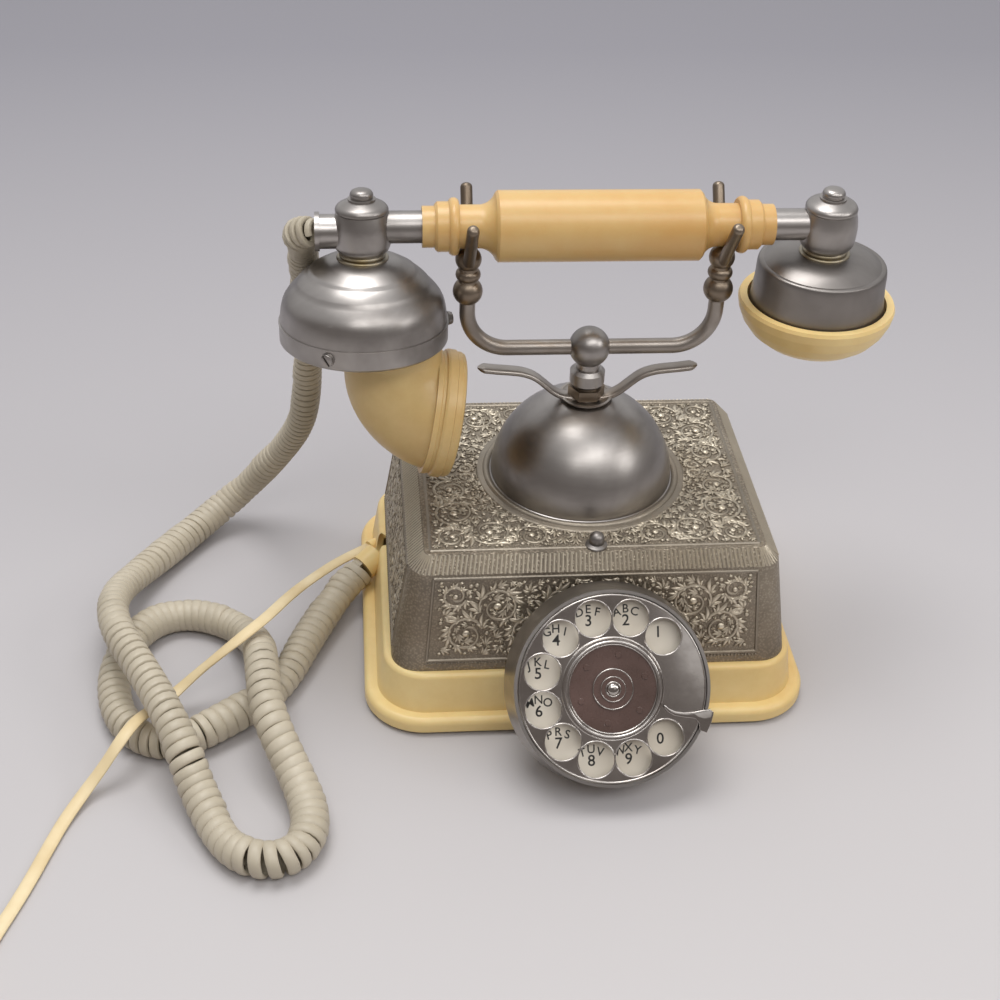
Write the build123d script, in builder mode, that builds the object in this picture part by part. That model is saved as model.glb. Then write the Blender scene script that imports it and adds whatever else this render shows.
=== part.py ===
from build123d import *
import os
from math import acos, asin, atan2, cos, degrees, pi, radians, sin, sqrt, tan

# Rotary telephone in an antique style: a cream plinth, a cast metal housing with a dome,
# a sprung cradle, a handset with a horn mouthpiece, and a dial on a short neck.
# Millimetres. +X right, +Y to the back, +Z up. The origin is on the surface that the
# telephone stands on, under the axis of the dome.

# ---- clearances ------------------------------------------------------------------
thread_gap = 0.05        # radial gap of a screw or spigot in its hole
running_gap = 0.06       # radial gap of a shaft that turns or slides
seat_gap = 0.3           # gap under a piece that another body rests on
plate_gap = 0.4          # gap around a plate inside a shell

# ---- plinth ----------------------------------------------------------------------
pad_thickness = 1.5
plate_thickness = 1.5
foot_half_x = 96.5
foot_half_y = 79.5
foot_corner = 26.0
foot_height = 7.0
foot_bead = 3.0
wall_half_x = 91.0
wall_half_y = 74.0
wall_corner = 21.0
ledge_half_x = 88.0
ledge_half_y = 71.0
ledge_corner = 18.0
plinth_wall = 2.6
plinth_rise = 18.1       # height of the plinth above its foot
ledge_round = 2.5
opening_half_x = 72.0
opening_half_y = 55.0
opening_corner = 6.0

foot_top = pad_thickness + foot_height
plinth_top = foot_top + plinth_rise

# ---- screws: the ten that hold plinth, housing and switch bracket are alike --------
screw_radius = 1.5
screw_length = 8.0
screw_head_radius = 3.0
screw_head_height = 1.4
post_radius = 4.0
base_post_x = 80.0
base_post_y = 42.0
house_post_x = 77.0
house_post_y = 60.0

# ---- housing -----------------------------------------------------------------------
house_half_x = 85.0
house_half_y = 68.0
house_corner = 12.0
shoulder_half_x = 77.5
shoulder_half_y = 62.3
shoulder_corner = 8.0
shoulder_rise = 46.9
panel_half_x = 71.0
panel_half_y = 57.5
panel_corner = 3.0
panel_rise = 53.9
house_wall = 3.0
house_post_height = 11.0

shoulder_z = plinth_top + shoulder_rise
panel_z = plinth_top + panel_rise
panel_under = panel_z - house_wall
panel_screw_y = -54.0
panel_screw_base = 4.5
panel_screw_ball = 3.3

# ---- cast scrolls: the main ones of each panel -----------------------------------------
scroll_rise = 0.4        # how far a scroll stands above its panel
scroll_root = 0.6        # how far it goes into the wall
scroll_width = 1.1
scroll_sweep = 250.0     # degrees that the arm of a scroll runs round its eye
scroll_eye = 0.18        # radius of the eye as a share of the scroll's

# A scroll is its place as shares of the panel's half width and height, its radius, the angle at
# which its arm starts and the hand that it turns. Each is mirrored in the middle of the panel.
outer_wall_scrolls = [(0.697, 0.394, 7.2, 160, -1), (0.529, 0.672, 7.6, -20, 1), (0.755, 0.778, 4.6, 200, 1)]
inner_wall_scrolls = [(0.348, 0.384, 7.4, 160, -1), (0.181, 0.661, 7.2, -20, 1)]
side_scrolls = [
    (0.642, 0.384, 7.2, 160, -1), (0.441, 0.672, 7.4, -20, 1), (0.225, 0.373, 7.2, 160, -1),
    (0.714, 0.768, 4.8, 200, 1),
]
top_scrolls = [
    (0.824, 0.217, 6.6, -100, 1), (0.810, 0.522, 7.6, 100, -1), (0.613, 0.757, 7.8, -30, 1),
    (0.831, 0.800, 5.6, 160, 1), (0.366, 0.800, 6.0, 20, -1),
]

# ---- dome, wings and neck ----------------------------------------------------------
dome_radius = 39.5
dome_wall = 1.2
dome_lip_radius = 41.5
dome_lip_height = 1.6
wing_disc_radius = 11.2
wing_disc_height = 2.2
wing_reach = 47.0
wing_rise = 15.6         # top of a wing above the top of the dome
wing_width = 4.6
wing_thickness = 2.0
nut_radius = 7.8
nut_height = 4.4
sleeve_radius = 5.6
sleeve_flange = 9.0
sleeve_flange_height = 2.0
sleeve_stand = 0.5       # how far the sleeve stands above its nut

dome_top = panel_z + sqrt(dome_radius**2 - wing_disc_radius**2)
wing_disc_top = dome_top + wing_disc_height
nut_top = wing_disc_top + nut_height
sleeve_top = nut_top + sleeve_stand

# ---- cradle ------------------------------------------------------------------------
cradle_travel = 6.0
rod_radius = 4.0
rod_bore_depth = 7.0
collar_radius = 7.4
collar_height = 8.0
collar_round = 1.5
cradle_neck_radius = 4.9
ball_radius = 8.7
ball_rise = 17.9         # centre of the ball above the foot of the collar
yoke_radius = 3.25
yoke_bend = 17.0
yoke_tip_drop = 1.8      # heights of the parts of a fork below the middle of its ball
bead_drop = 14.3
bead_half = 4.5
bead_radius = 6.1
ring_drop = 6.8
ring_half = 2.2
ring_radius = 5.1
fork_rise = 41.1         # middle of a fork's ball above the cradle's ball
fork_ball_radius = 5.3
fork_waist = 4.0
prong_radius = 2.45
prong_angle = 52.85      # degrees that a prong rises from level
prong_below = 9.0        # length of a prong below and above where it meets the handset
prong_above = 20.0

collar_z = sleeve_top + seat_gap
ball_z = collar_z + ball_rise
fork_ball_z = ball_z + fork_rise
sleeve_bore = rod_radius + running_gap

# ---- switch under the cradle ---------------------------------------------------------
bracket_z = 46.5
bracket_thickness = 1.5
bracket_half_x = 24.0
bracket_half_y = 12.0
bracket_foot_reach = 12.0
bracket_screw_x = 30.0
boss_drop = 7.5
spring_radius = 6.05
spring_wire = 0.45
spring_turns = 5
washer_radius = 7.5
washer_height = 1.5
spring_height = 12.0
nose_radius = 1.5
nose_z = 36.0
lever_pivot_x = 20.0
lever_pivot_z = 34.0
lever_hub_radius = 3.5
lever_thickness = 2.5
lever_width = 8.0
lever_pin_radius = 1.4
ear_gap = 6.5            # half distance between the bracket's ears
ear_thickness = 1.5
ear_half_x = 4.0
contact_width = 5.0
contact_thickness = 0.5
contact_pitch = 2.0

spring_foot = bracket_z + bracket_thickness
washer_z = spring_foot + spring_height
boss_z = panel_under - boss_drop

# ---- ringer and network --------------------------------------------------------------
gong_x = 25.0
gong_y = 13.0
gong_radius = 19.5
gong_wall = 1.2
gong_rim_z = 10.0
gong_height = 13.0
gong_post_radius = 3.0
clapper_y = 33.0
clapper_z = 14.5
clapper_arm = 18.0
clapper_ball = 3.2
clapper_pin = 1.5
coil_x = 11.0
coil_radius = 8.0
coil_front_y = 37.5
coil_length = 18.0
core_radius = 2.5
core_reach = 1.0
frame_half_x = 22.0
frame_thickness = 1.5
frame_front_y = 29.0
box_half_x = 35.0
box_front_y = -50.0
box_depth = 30.0
box_height = 22.0

# ---- dial ----------------------------------------------------------------------------
dial_x = 2.4
dial_y = -103.7
dial_z = 46.0
dial_tilt = 35.0         # degrees that the face of the dial leans back
wheel_radius = 38.1
wheel_thickness = 1.6
hole_count = 10
hole_radius = 7.5
hole_ring_radius = 29.2
first_hole = 44.2        # degrees from +X to the hole of digit 1
hole_step = 30.2
drum_rim_radius = 39.8
drum_rim_depth = 4.0
drum_back_radius = 42.3
drum_depth = 17.0
drum_wall = 1.8
wheel_gap = 0.4          # radial gap between the wheel and the drum's rim
drum_post_ring = 34.0
drum_post_radius = 2.2
number_depth = 5.0
number_thickness = 1.0
dial_plate_depth = 8.0
dial_plate_thickness = 1.5
card_radius = 18.2
card_ring_radius = 19.9
card_ring_height = 1.5
card_thickness = 0.5
hub_radius = 8.2
hub_height = 1.0
hub_screw_radius = 2.4
shaft_radius = 3.0
shaft_length = 13.0
gear_module = 0.6
main_teeth = 60
cam_teeth = 15
governor_teeth = 12
gear_depth = 10.6
gear_thickness = 1.2
mesh_gap = 0.15
arbor_radius = 1.1
arbor_back = 14.6        # depth at which the small arbors end
cam_radius = 5.0
cam_angle = 150.0
governor_radius = 6.2
governor_angle = 270.0
spring_case_radius = 14.0
stop_angle = -20.0
stop_inner = 22.0
stop_width = 5.0
stop_thickness = 1.2
stop_lift = 0.6
neck_radius = 20.0
neck_spigot = 13.9
neck_bore = 10.0
neck_z = 47.0
neck_boss_y = -58.0
neck_end_y = -56.0
neck_spigot_length = 12.0

# ---- handset -------------------------------------------------------------------------
barrel_half = 41.3
barrel_radius = 14.15
cove_length = 5.95
grip_neck_radius = 8.6
grip_neck_length = 8.5
grip_bead_radius = 11.4
grip_bead_length = 4.0
grip_step_radius = 9.9
grip_step_length = 5.5
grip_end_radius = 8.2
grip_end_length = 5.0
tube_radius = 6.4
tube_wall = 1.2
tube_bare = 13.7         # bare tube between the grip and a knuckle
tube_socket = 2.8        # how far the tube goes into a knuckle
knuckle_radius = 9.7
knuckle_waist = 8.2
knuckle_foot = -12.5     # heights from the axis of the handset
knuckle_low = -8.4
knuckle_high = 7.6
knuckle_top = 11.0
cap_nut_radius = 4.8
cap_nut_height = 5.2
stub_length = 18.5       # from the middle of the knuckle to the face of the cord's flange
stub_drop = 1.7          # the stub's axis below the handset's
stub_radius = 6.8
flange_thickness = 1.8
flange_radius = 7.7
transmitter_tilt = 6.0   # degrees that the transmitter swings forward
band_radius = 34.1
band_top = -39.0
band_bottom = -47.2
band_wall = 1.5
cup_edge = 0.4           # how much narrower the cup's edge is than the band
shell_wall = 1.3
capsule_radius = 30.0
capsule_height = 8.0
band_screw_radius = 2.3
band_screw_reach = 2.2
band_screw_turns = [-115.0, 14.0]
band_screw_height = -41.6
horn_neck_radius = 19.7
horn_neck_length = 7.5
horn_end_radius = 24.6
horn_wall = 2.2
horn_overhang = 0.0      # the bend's inner corner beyond the band
horn_gap = 2.5
horn_turn = 80.0
horn_sections = 4
rim_back = 3.5
rim_front = 8.5
rim_radius = 27.0
rim_groove = 25.8
receiver_capsule_radius = 25.4
receiver_crown_radius = 25.9
receiver_crown_foot = -19.0
receiver_radius = 28.3
receiver_shell_foot = -38.0
ear_radius = 32.3
ear_top = -33.4
ear_depth = 20.1
ear_dish = 3.0           # how far the middle of the ear cap is dished
ear_hole_radius = 1.2
ear_hole_ring = 7.0

handset_z = fork_ball_z + fork_ball_radius + seat_gap + grip_neck_radius
cove_end = barrel_half + cove_length
grip_neck_end = cove_end + grip_neck_length
grip_bead_end = grip_neck_end + grip_bead_length
grip_step_end = grip_bead_end + grip_step_length
grip_end = grip_step_end + grip_end_length
yoke_half = cove_end + grip_neck_length / 2
knuckle_x = grip_end + tube_bare + knuckle_radius
tube_end = grip_end + tube_bare + tube_socket
flange_x = knuckle_x + stub_length
cup_radius = band_radius - cup_edge
horn_corner = band_radius + horn_overhang
ear_mouth = receiver_radius + plate_gap

# ---- cords ---------------------------------------------------------------------------
curly_radius = 7.5       # outer radius of the curly cord
line_radius = 1.7        # radius of the plain tube that stands for the flat line cord
curly_grommet_radius = 6.4
line_grommet_radius = 2.8
grommet_length = 9.0
coil_centre_x = -272.5
coil_centre_y = -214.0
coil_inner = 24.5
coil_outer = 37.5
coil_height = 7.6
coil_lead = 18.0
plug_length = 12.0
plug_width = 10.0
plug_height = 7.0

curly_route = [
    (-flange_x, 0, handset_z - stub_drop), (-119.5, 4, 195.5), (-120.5, 13.5, 186), (-120, 25, 171),
    (-119.5, 36, 154), (-119.5, 44, 130), (-119.5, 50, 105), (-120.5, 54, 84),
    (-124.5, 59.5, 68), (-131.5, 66, 53), (-140.5, 71.5, 38.5), (-150, 75.5, 25.5),
    (-160, 75.5, 15.5), (-170.5, 69, 9.5), (-181, 56, 8), (-190.5, 42, 8),
    (-200.5, 24, 11), (-206.5, 2, 19), (-206, -21, 27), (-200, -41.5, 28.5),
    (-190, -60, 28.5), (-180.5, -79, 28), (-173, -95.5, 26), (-168.5, -107, 20.5),
    (-164.5, -115.5, 12.5), (-159, -127, 8.2), (-153.5, -138, 7.6), (-147, -146.5, 7.6),
    (-138.5, -151.5, 7.6), (-129, -151.5, 7.6), (-122, -146, 7.6), (-118.5, -136.5, 7.6),
    (-119.5, -125, 8), (-124, -113.5, 11.5), (-129, -104.5, 17.5), (-134, -94.5, 23.5), (-137.5, -82, 26.5),
    (-139, -67, 27.5), (-140.5, -52, 26), (-143, -36.5, 18), (-147.5, -23.5, 11.5),
    (-154, -13, 8.2), (-163, -6.5, 7.6), (-173, -3, 7.6), (-183, -3.5, 7.6),
    (-191.5, -8, 7.6), (-198, -17, 7.6), (-202.5, -28.5, 7.6), (-204.5, -41, 7.6),
    (-203.5, -54, 7.6), (-200.5, -66, 7.6), (-195, -76, 7.6), (-187, -83, 7.6),
    (-177.5, -85.5, 7.6), (-168, -82.5, 7.6), (-158, -76, 7.6), (-147.5, -68, 7.6),
    (-137.5, -58.5, 7.6), (-129.5, -44, 7.6), (-122.5, -25, 7.6), (-114.5, -7, 8.3),
    (-109, 3, 10.5), (-103, 11, 13.5), (-96, 16.5, 16.8),
]
line_route = [
    (-93, 36, 14), (-105, 27, 14.5), (-117, 10.5, 18), (-128, -14, 27),
    (-137.5, -38, 34), (-147, -50.5, 34.5), (-157.5, -54.5, 27.5), (-167.5, -55, 18),
    (-176, -58.5, 11.5), (-182.5, -67, 11), (-187, -78, 17.5), (-191, -88.5, 21),
    (-196, -96.5, 18.5), (-202, -101.5, 11), (-209.5, -108.5, 4), (-216, -121, 1.9),
    (-220.5, -135.5, 1.8), (-224.5, -150, 1.8), (-229, -164, 1.8), (-233.5, -176.5, 1.8),
    (-236.7, -187, 1.8), (-236.7, -196, 1.8),
]

# ---- frames that several pieces share -------------------------------------------------
tilt = radians(dial_tilt)
dial_out = Vector(0, -cos(tilt), sin(tilt))
dial_origin = Vector(dial_x, dial_y, dial_z)
dial_face = Plane(origin=dial_origin, x_dir=(1, 0, 0), z_dir=dial_out)
dial_side = Plane(origin=dial_origin, x_dir=(1, 0, 0), z_dir=dial_face.y_dir * -1)
dial_axis = Axis(dial_origin, dial_out)

lean = radians(transmitter_tilt)
left_up = Vector(0, sin(lean), cos(lean))
left_plane = Plane(origin=(-knuckle_x, 0, handset_z), x_dir=(1, 0, 0), z_dir=(0, -cos(lean), sin(lean)))
left_axis = Axis((-knuckle_x, 0, handset_z), left_up)
right_plane = Plane(origin=(knuckle_x, 0, handset_z), x_dir=(1, 0, 0), z_dir=(0, -1, 0))
right_axis = Axis((knuckle_x, 0, handset_z), (0, 0, 1))
grip_axis = Axis((0, 0, handset_z), (1, 0, 0))
grip_plane = Plane(origin=(0, 0, handset_z), x_dir=(1, 0, 0), z_dir=(0, -1, 0))


def write_piece(piece, label):
    """Label a finished piece and write its STEP file."""
    piece.part.label = label
    export_step(piece.part, f"parts/{label}.step")


def rounded(half_x, half_y, corner):
    """A rounded rectangle in the sketch being built, from its half sizes."""
    RectangleRounded(2 * half_x, 2 * half_y, corner)


def four(x, y):
    """The four places at plus and minus x and y."""
    return [(x, y), (-x, y), (-x, -y), (x, -y)]


def closed_outline(*points):
    """A straight-sided outline in the sketch being built."""
    Polygon(*points, align=None)


def between(start, end, shares):
    """The points at shares of the way across and down from one point to another."""
    width = end[0] - start[0]
    height = end[1] - start[1]
    return [(start[0] + width * across, start[1] + height * down) for across, down in shares]


def shell_outline(points, wall):
    """The cut face of a turned shell: the points of its outside, and the same line one wall further in."""
    inside = [(radius - wall, height - wall) for radius, height in points[:-1]]
    edge_radius, edge_height = points[-1]
    inside.append((edge_radius - wall, edge_height))
    Polygon(*points, *reversed(inside), align=None)


def scroll_arms(scrolls, half_width, height, mirrors):
    """The arm and middle of each scroll, once for each (side, rise) of the mirrors."""
    arms = []
    for across, up, radius, first_angle, hand in scrolls:
        for side, rise in mirrors:
            middle = (side * across * half_width, rise * up * height)
            first = radians(first_angle)
            start = degrees(atan2(rise * sin(first), side * cos(first)))
            if side * rise * hand < 0:
                start -= scroll_sweep
            arms.append((CenterArc(middle, radius, start, scroll_sweep), middle, scroll_eye * radius))
    return arms


def arbor_distance(teeth):
    """How far the arbor of a pinion stands from the dial's shaft when it meshes with the main gear."""
    return gear_module * (main_teeth + teeth) / 2 + mesh_gap


def gear_outline(teeth, first_tooth):
    """Points of a straight-flanked gear, with its first tooth at an angle in degrees."""
    pitch_radius = gear_module * teeth / 2
    tip = pitch_radius + 0.9 * gear_module
    root = pitch_radius - 1.15 * gear_module
    step = 2 * pi / teeth
    half_root = 0.31 * step
    half_tip = 0.12 * step
    points = []
    for tooth in range(teeth):
        middle = radians(first_tooth) + tooth * step
        for radius, turn in ((root, -half_root), (tip, -half_tip), (tip, half_tip), (root, half_root)):
            points.append((radius * cos(middle + turn), radius * sin(middle + turn)))
    return points


def corner_radii(route):
    """The largest arc that each corner's two runs allow."""
    radii = []
    for before, corner, after in zip(route, route[1:], route[2:]):
        run_in = Vector(*corner) - Vector(*before)
        run_out = Vector(*after) - Vector(*corner)
        half_turn = radians(run_in.get_angle(run_out)) / 2
        radii.append(0.45 * min(run_in.length, run_out.length) / tan(half_turn))
    return radii


def report_tube(cord_name, path, cord, radius):
    """Print a cord's length, and its volume beside its section times its length."""
    length = sum(edge.length for edge in path.edges())
    print(cord_name, "length", round(length, 1), "volume", round(cord.part.volume),
          "section times length", round(pi * radius**2 * length))


os.makedirs("parts", exist_ok=True)

# ==== plinth ============================================================================

with BuildPart() as base_pad:
    with BuildSketch():
        rounded(foot_half_x - foot_bead, foot_half_y - foot_bead, foot_corner - foot_bead)
    extrude(amount=pad_thickness)
write_piece(base_pad, "base_pad")

with BuildPart() as base_plate:
    with BuildSketch(Plane.XY.offset(pad_thickness)):
        inset = plinth_wall + plate_gap
        rounded(foot_half_x - inset, foot_half_y - inset, foot_corner - inset)
        with Locations(*four(base_post_x, base_post_y)):
            Circle(screw_head_radius + thread_gap, mode=Mode.SUBTRACT)
    extrude(amount=screw_head_height)
    with BuildSketch(Plane.XY.offset(pad_thickness + screw_head_height)):
        rounded(foot_half_x - inset, foot_half_y - inset, foot_corner - inset)
        with Locations(*four(base_post_x, base_post_y)):
            Circle(screw_radius + thread_gap, mode=Mode.SUBTRACT)
    extrude(amount=plate_thickness)
write_piece(base_plate, "base_plate")

base_plate_top = pad_thickness + screw_head_height + plate_thickness
curly_end = Vector(*curly_route[-1])
curly_in = (curly_end - Vector(*curly_route[-2])).normalized()
line_end = Vector(*line_route[0])
line_in = (line_end - Vector(*line_route[1])).normalized()
curly_hole = Plane(origin=curly_end, z_dir=curly_in)
line_hole = Plane(origin=line_end, z_dir=line_in)
ledge_under = plinth_top - plinth_wall

with BuildPart() as base_plinth:
    with BuildSketch(Plane.XY.offset(pad_thickness)):
        rounded(foot_half_x, foot_half_y, foot_corner)
    extrude(amount=foot_height)
    fillet(base_plinth.edges().group_by(Axis.Z)[-1], foot_bead)
    fillet(base_plinth.edges().group_by(Axis.Z)[0], foot_bead / 3)
    with BuildSketch(Plane.XY.offset(foot_top)):
        rounded(wall_half_x, wall_half_y, wall_corner)
    with BuildSketch(Plane.XY.offset(plinth_top)):
        rounded(ledge_half_x, ledge_half_y, ledge_corner)
    loft(ruled=True)
    fillet(base_plinth.edges().group_by(Axis.Z)[-1], ledge_round)
    with BuildSketch(Plane.XY.offset(pad_thickness)):
        rounded(foot_half_x - plinth_wall, foot_half_y - plinth_wall, foot_corner - plinth_wall)
    extrude(amount=foot_height - plinth_wall, mode=Mode.SUBTRACT)
    with BuildSketch(Plane.XY.offset(foot_top - plinth_wall)):
        rounded(wall_half_x - plinth_wall, wall_half_y - plinth_wall, wall_corner - plinth_wall)
    with BuildSketch(Plane.XY.offset(ledge_under)):
        rounded(ledge_half_x - plinth_wall, ledge_half_y - plinth_wall, ledge_corner - plinth_wall)
    loft(ruled=True, mode=Mode.SUBTRACT)
    with BuildSketch(Plane.XY.offset(ledge_under)):
        rounded(opening_half_x, opening_half_y, opening_corner)
    extrude(amount=plinth_wall, mode=Mode.SUBTRACT)
    with BuildSketch(Plane.XY.offset(base_plate_top)):
        with Locations(*four(base_post_x, base_post_y)):
            Circle(post_radius)
    extrude(until=Until.NEXT)
    with BuildSketch(Plane.XY.offset(base_plate_top)):
        with Locations(*four(base_post_x, base_post_y)):
            Circle(screw_radius + thread_gap)
    extrude(amount=screw_length, mode=Mode.SUBTRACT)
    with BuildSketch(Plane.XY.offset(ledge_under)):
        with Locations(*four(house_post_x, house_post_y)):
            Circle(screw_radius + thread_gap)
    extrude(amount=plinth_wall, mode=Mode.SUBTRACT)
    with BuildSketch(curly_hole):
        Circle(curly_grommet_radius + thread_gap)
    extrude(amount=2 * grommet_length, both=True, mode=Mode.SUBTRACT)
    with BuildSketch(line_hole):
        Circle(line_grommet_radius + thread_gap)
    extrude(amount=2 * grommet_length, both=True, mode=Mode.SUBTRACT)
write_piece(base_plinth, "base_plinth")

with BuildPart() as case_screws:
    screw_places = [(x, y, pad_thickness) for x, y in four(base_post_x, base_post_y)]
    screw_places += [(x, y, ledge_under - screw_head_height) for x, y in four(house_post_x, house_post_y)]
    bracket_foot_z = boss_z - bracket_thickness
    screw_places += [(x, 0, bracket_foot_z - screw_head_height) for x in (-bracket_screw_x, bracket_screw_x)]
    for place in screw_places:
        with BuildSketch(Plane(origin=place)):
            Circle(screw_head_radius)
        extrude(amount=screw_head_height)
        with BuildSketch(Plane(origin=place)):
            Circle(screw_radius)
        extrude(amount=screw_head_height + screw_length)
write_piece(case_screws, "case_screws")

# ==== housing ===========================================================================

neck_back = Plane(origin=(dial_x, neck_boss_y, neck_z), x_dir=(1, 0, 0), z_dir=(0, -1, 0))
slope_y = house_half_y - shoulder_half_y
slope_x = house_half_x - shoulder_half_x


def wall_plane(origin, across, slope):
    """The plane of a leaning wall of the housing, from a place at its foot and the way up its face."""
    return Plane(origin=(*origin, plinth_top), x_dir=across, z_dir=Vector(*across).cross(Vector(*slope)))


front_plane = wall_plane((0, -house_half_y), (1, 0, 0), (0, slope_y, shoulder_rise))
rear_plane = wall_plane((0, house_half_y), (-1, 0, 0), (0, -slope_y, shoulder_rise))
right_wall = wall_plane((house_half_x, 0), (0, 1, 0), (-slope_x, 0, shoulder_rise))
left_wall = wall_plane((-house_half_x, 0), (0, -1, 0), (slope_x, 0, shoulder_rise))

with BuildPart() as housing:
    with BuildSketch(Plane.XY.offset(plinth_top)):
        rounded(house_half_x, house_half_y, house_corner)
    with BuildSketch(Plane.XY.offset(shoulder_z)):
        rounded(shoulder_half_x, shoulder_half_y, shoulder_corner)
    loft(ruled=True)
    with BuildSketch(Plane.XY.offset(shoulder_z)):
        rounded(shoulder_half_x, shoulder_half_y, shoulder_corner)
    with BuildSketch(Plane.XY.offset(panel_z)):
        rounded(panel_half_x, panel_half_y, panel_corner)
    loft(ruled=True)
    with BuildSketch(Plane.XY.offset(plinth_top)):
        rounded(house_half_x - house_wall, house_half_y - house_wall, house_corner - house_wall)
    with BuildSketch(Plane.XY.offset(shoulder_z - house_wall / 2)):
        rounded(shoulder_half_x - house_wall, shoulder_half_y - house_wall, shoulder_corner - house_wall)
    loft(ruled=True, mode=Mode.SUBTRACT)
    with BuildSketch(Plane.XY.offset(shoulder_z - house_wall / 2)):
        rounded(shoulder_half_x - house_wall, shoulder_half_y - house_wall, shoulder_corner - house_wall)
    with BuildSketch(Plane.XY.offset(panel_under)):
        rounded(panel_half_x - house_wall / 2, panel_half_y - house_wall / 2, panel_corner - house_wall / 2)
    loft(ruled=True, mode=Mode.SUBTRACT)
    with BuildSketch(Plane.XY.offset(plinth_top)):
        with Locations(*four(house_post_x, house_post_y)):
            Circle(post_radius)
    extrude(amount=house_post_height)
    with BuildSketch(Plane.XY.offset(boss_z)):
        with Locations((-bracket_screw_x, 0), (bracket_screw_x, 0)):
            Circle(post_radius)
    extrude(amount=boss_drop)
    with BuildSketch(neck_back):
        Circle(neck_radius)
    extrude(until=Until.NEXT)
    with BuildSketch(Plane.XY.offset(plinth_top)):
        with Locations(*four(house_post_x, house_post_y)):
            Circle(screw_radius + thread_gap)
    extrude(amount=screw_length - plinth_wall + thread_gap, mode=Mode.SUBTRACT)
    with BuildSketch(Plane.XY.offset(boss_z)):
        with Locations((-bracket_screw_x, 0), (bracket_screw_x, 0)):
            Circle(screw_radius + thread_gap)
    extrude(amount=screw_length - bracket_thickness + thread_gap, mode=Mode.SUBTRACT)
    with BuildSketch(Plane.XY.offset(panel_under)):
        Circle(sleeve_radius + thread_gap)
        with Locations((0, panel_screw_y)):
            Circle(screw_radius + thread_gap)
    extrude(amount=house_wall, mode=Mode.SUBTRACT)
    with BuildSketch(neck_back):
        Circle(neck_spigot + thread_gap)
    extrude(amount=neck_radius, mode=Mode.SUBTRACT)
    halves = [(1, 1), (-1, 1)]
    quarters = [(1, 1), (-1, 1), (-1, -1), (1, -1)]
    for panel, scrolls, half_width, height, mirrors in (
        (front_plane, outer_wall_scrolls, shoulder_half_x, shoulder_rise, halves),
        (rear_plane, outer_wall_scrolls + inner_wall_scrolls, shoulder_half_x, shoulder_rise, halves),
        (right_wall, side_scrolls, shoulder_half_y, shoulder_rise, halves),
        (left_wall, side_scrolls, shoulder_half_y, shoulder_rise, halves),
        (Plane.XY.offset(panel_z), top_scrolls, panel_half_x, panel_half_y, quarters),
    ):
        arms = scroll_arms(scrolls, half_width, height, mirrors)
        with BuildSketch(panel.offset(-scroll_root)):
            for arm, middle, eye_radius in arms:
                SlotArc(arm, scroll_width)
                with Locations(middle):
                    Circle(eye_radius)
        extrude(amount=scroll_root + scroll_rise)
write_piece(housing, "housing")

with BuildPart() as panel_screw:
    with BuildSketch(Plane(origin=(0, panel_screw_y, panel_z), x_dir=(1, 0, 0), z_dir=(0, -1, 0))):
        closed_outline(
            (0, -house_wall), (screw_radius, -house_wall), (screw_radius, 0), (panel_screw_base, 0),
            (panel_screw_base, 0.8), (0.7 * panel_screw_base, 1.6), (0, 1.6),
        )
    revolve(axis=Axis((0, panel_screw_y, 0), (0, 0, 1)))
    with Locations((0, panel_screw_y, panel_z + panel_screw_ball)):
        Sphere(panel_screw_ball)
    split(bisect_by=Plane.XY.offset(panel_z - house_wall), keep=Keep.TOP)
write_piece(panel_screw, "panel_screw")

with BuildPart() as dome_cover:
    lip_angle = degrees(asin(dome_lip_height / dome_radius))
    flat_angle = degrees(acos(wing_disc_radius / dome_radius))
    inner_radius = dome_radius - dome_wall
    inner_angle = degrees(asin((dome_top - dome_wall - panel_z) / inner_radius))
    hole = sleeve_radius + thread_gap
    with BuildSketch(Plane.XZ):
        with BuildLine():
            outer = CenterArc((0, panel_z), dome_radius, lip_angle, flat_angle - lip_angle)
            top = Polyline(outer @ 1, (hole, dome_top), (hole, dome_top - dome_wall))
            inner_start = (inner_radius * cos(radians(inner_angle)), dome_top - dome_wall)
            Line(top @ 1, inner_start)
            inner = CenterArc((0, panel_z), inner_radius, inner_angle, -inner_angle)
            lip_top = (dome_lip_radius, panel_z + dome_wall / 2)
            Polyline(inner @ 1, (dome_lip_radius, panel_z), lip_top, outer @ 0)
        make_face()
    revolve(axis=Axis.Z)
write_piece(dome_cover, "dome_cover")

# ==== neck over the dome ================================================================

with BuildPart() as wing_bracket:
    with BuildSketch(Plane.XZ):
        with BuildLine() as right_wing:
            wing_foot = (sleeve_radius + wing_thickness, dome_top + wing_disc_height / 2)
            wing_tip = (wing_reach, dome_top + wing_rise)
            wing_bow = [(0, 0), (0.18, 0.44), (0.39, 0.83), (0.64, 0.98), (1, 0.84)]
            Spline(*between(wing_foot, wing_tip, wing_bow))
        trace(line_width=wing_thickness)
        mirror(about=Plane.YZ)
    extrude(amount=wing_width, both=True)
    with BuildSketch(Plane.XY.offset(dome_top)):
        SlotOverall(2 * wing_reach, wing_width)
    extrude(amount=wing_reach, mode=Mode.INTERSECT)
    with BuildSketch(Plane.XY.offset(dome_top)):
        Circle(wing_disc_radius)
    extrude(amount=wing_disc_height)
    with BuildSketch(Plane.XY.offset(wing_disc_top)):
        Circle(nut_radius + wing_thickness / 2)
    extrude(amount=wing_disc_height * 2, mode=Mode.SUBTRACT)
    with BuildSketch(Plane.XY.offset(dome_top)):
        Circle(sleeve_radius + thread_gap)
    extrude(amount=wing_disc_height, mode=Mode.SUBTRACT)
write_piece(wing_bracket, "wing_bracket")

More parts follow.
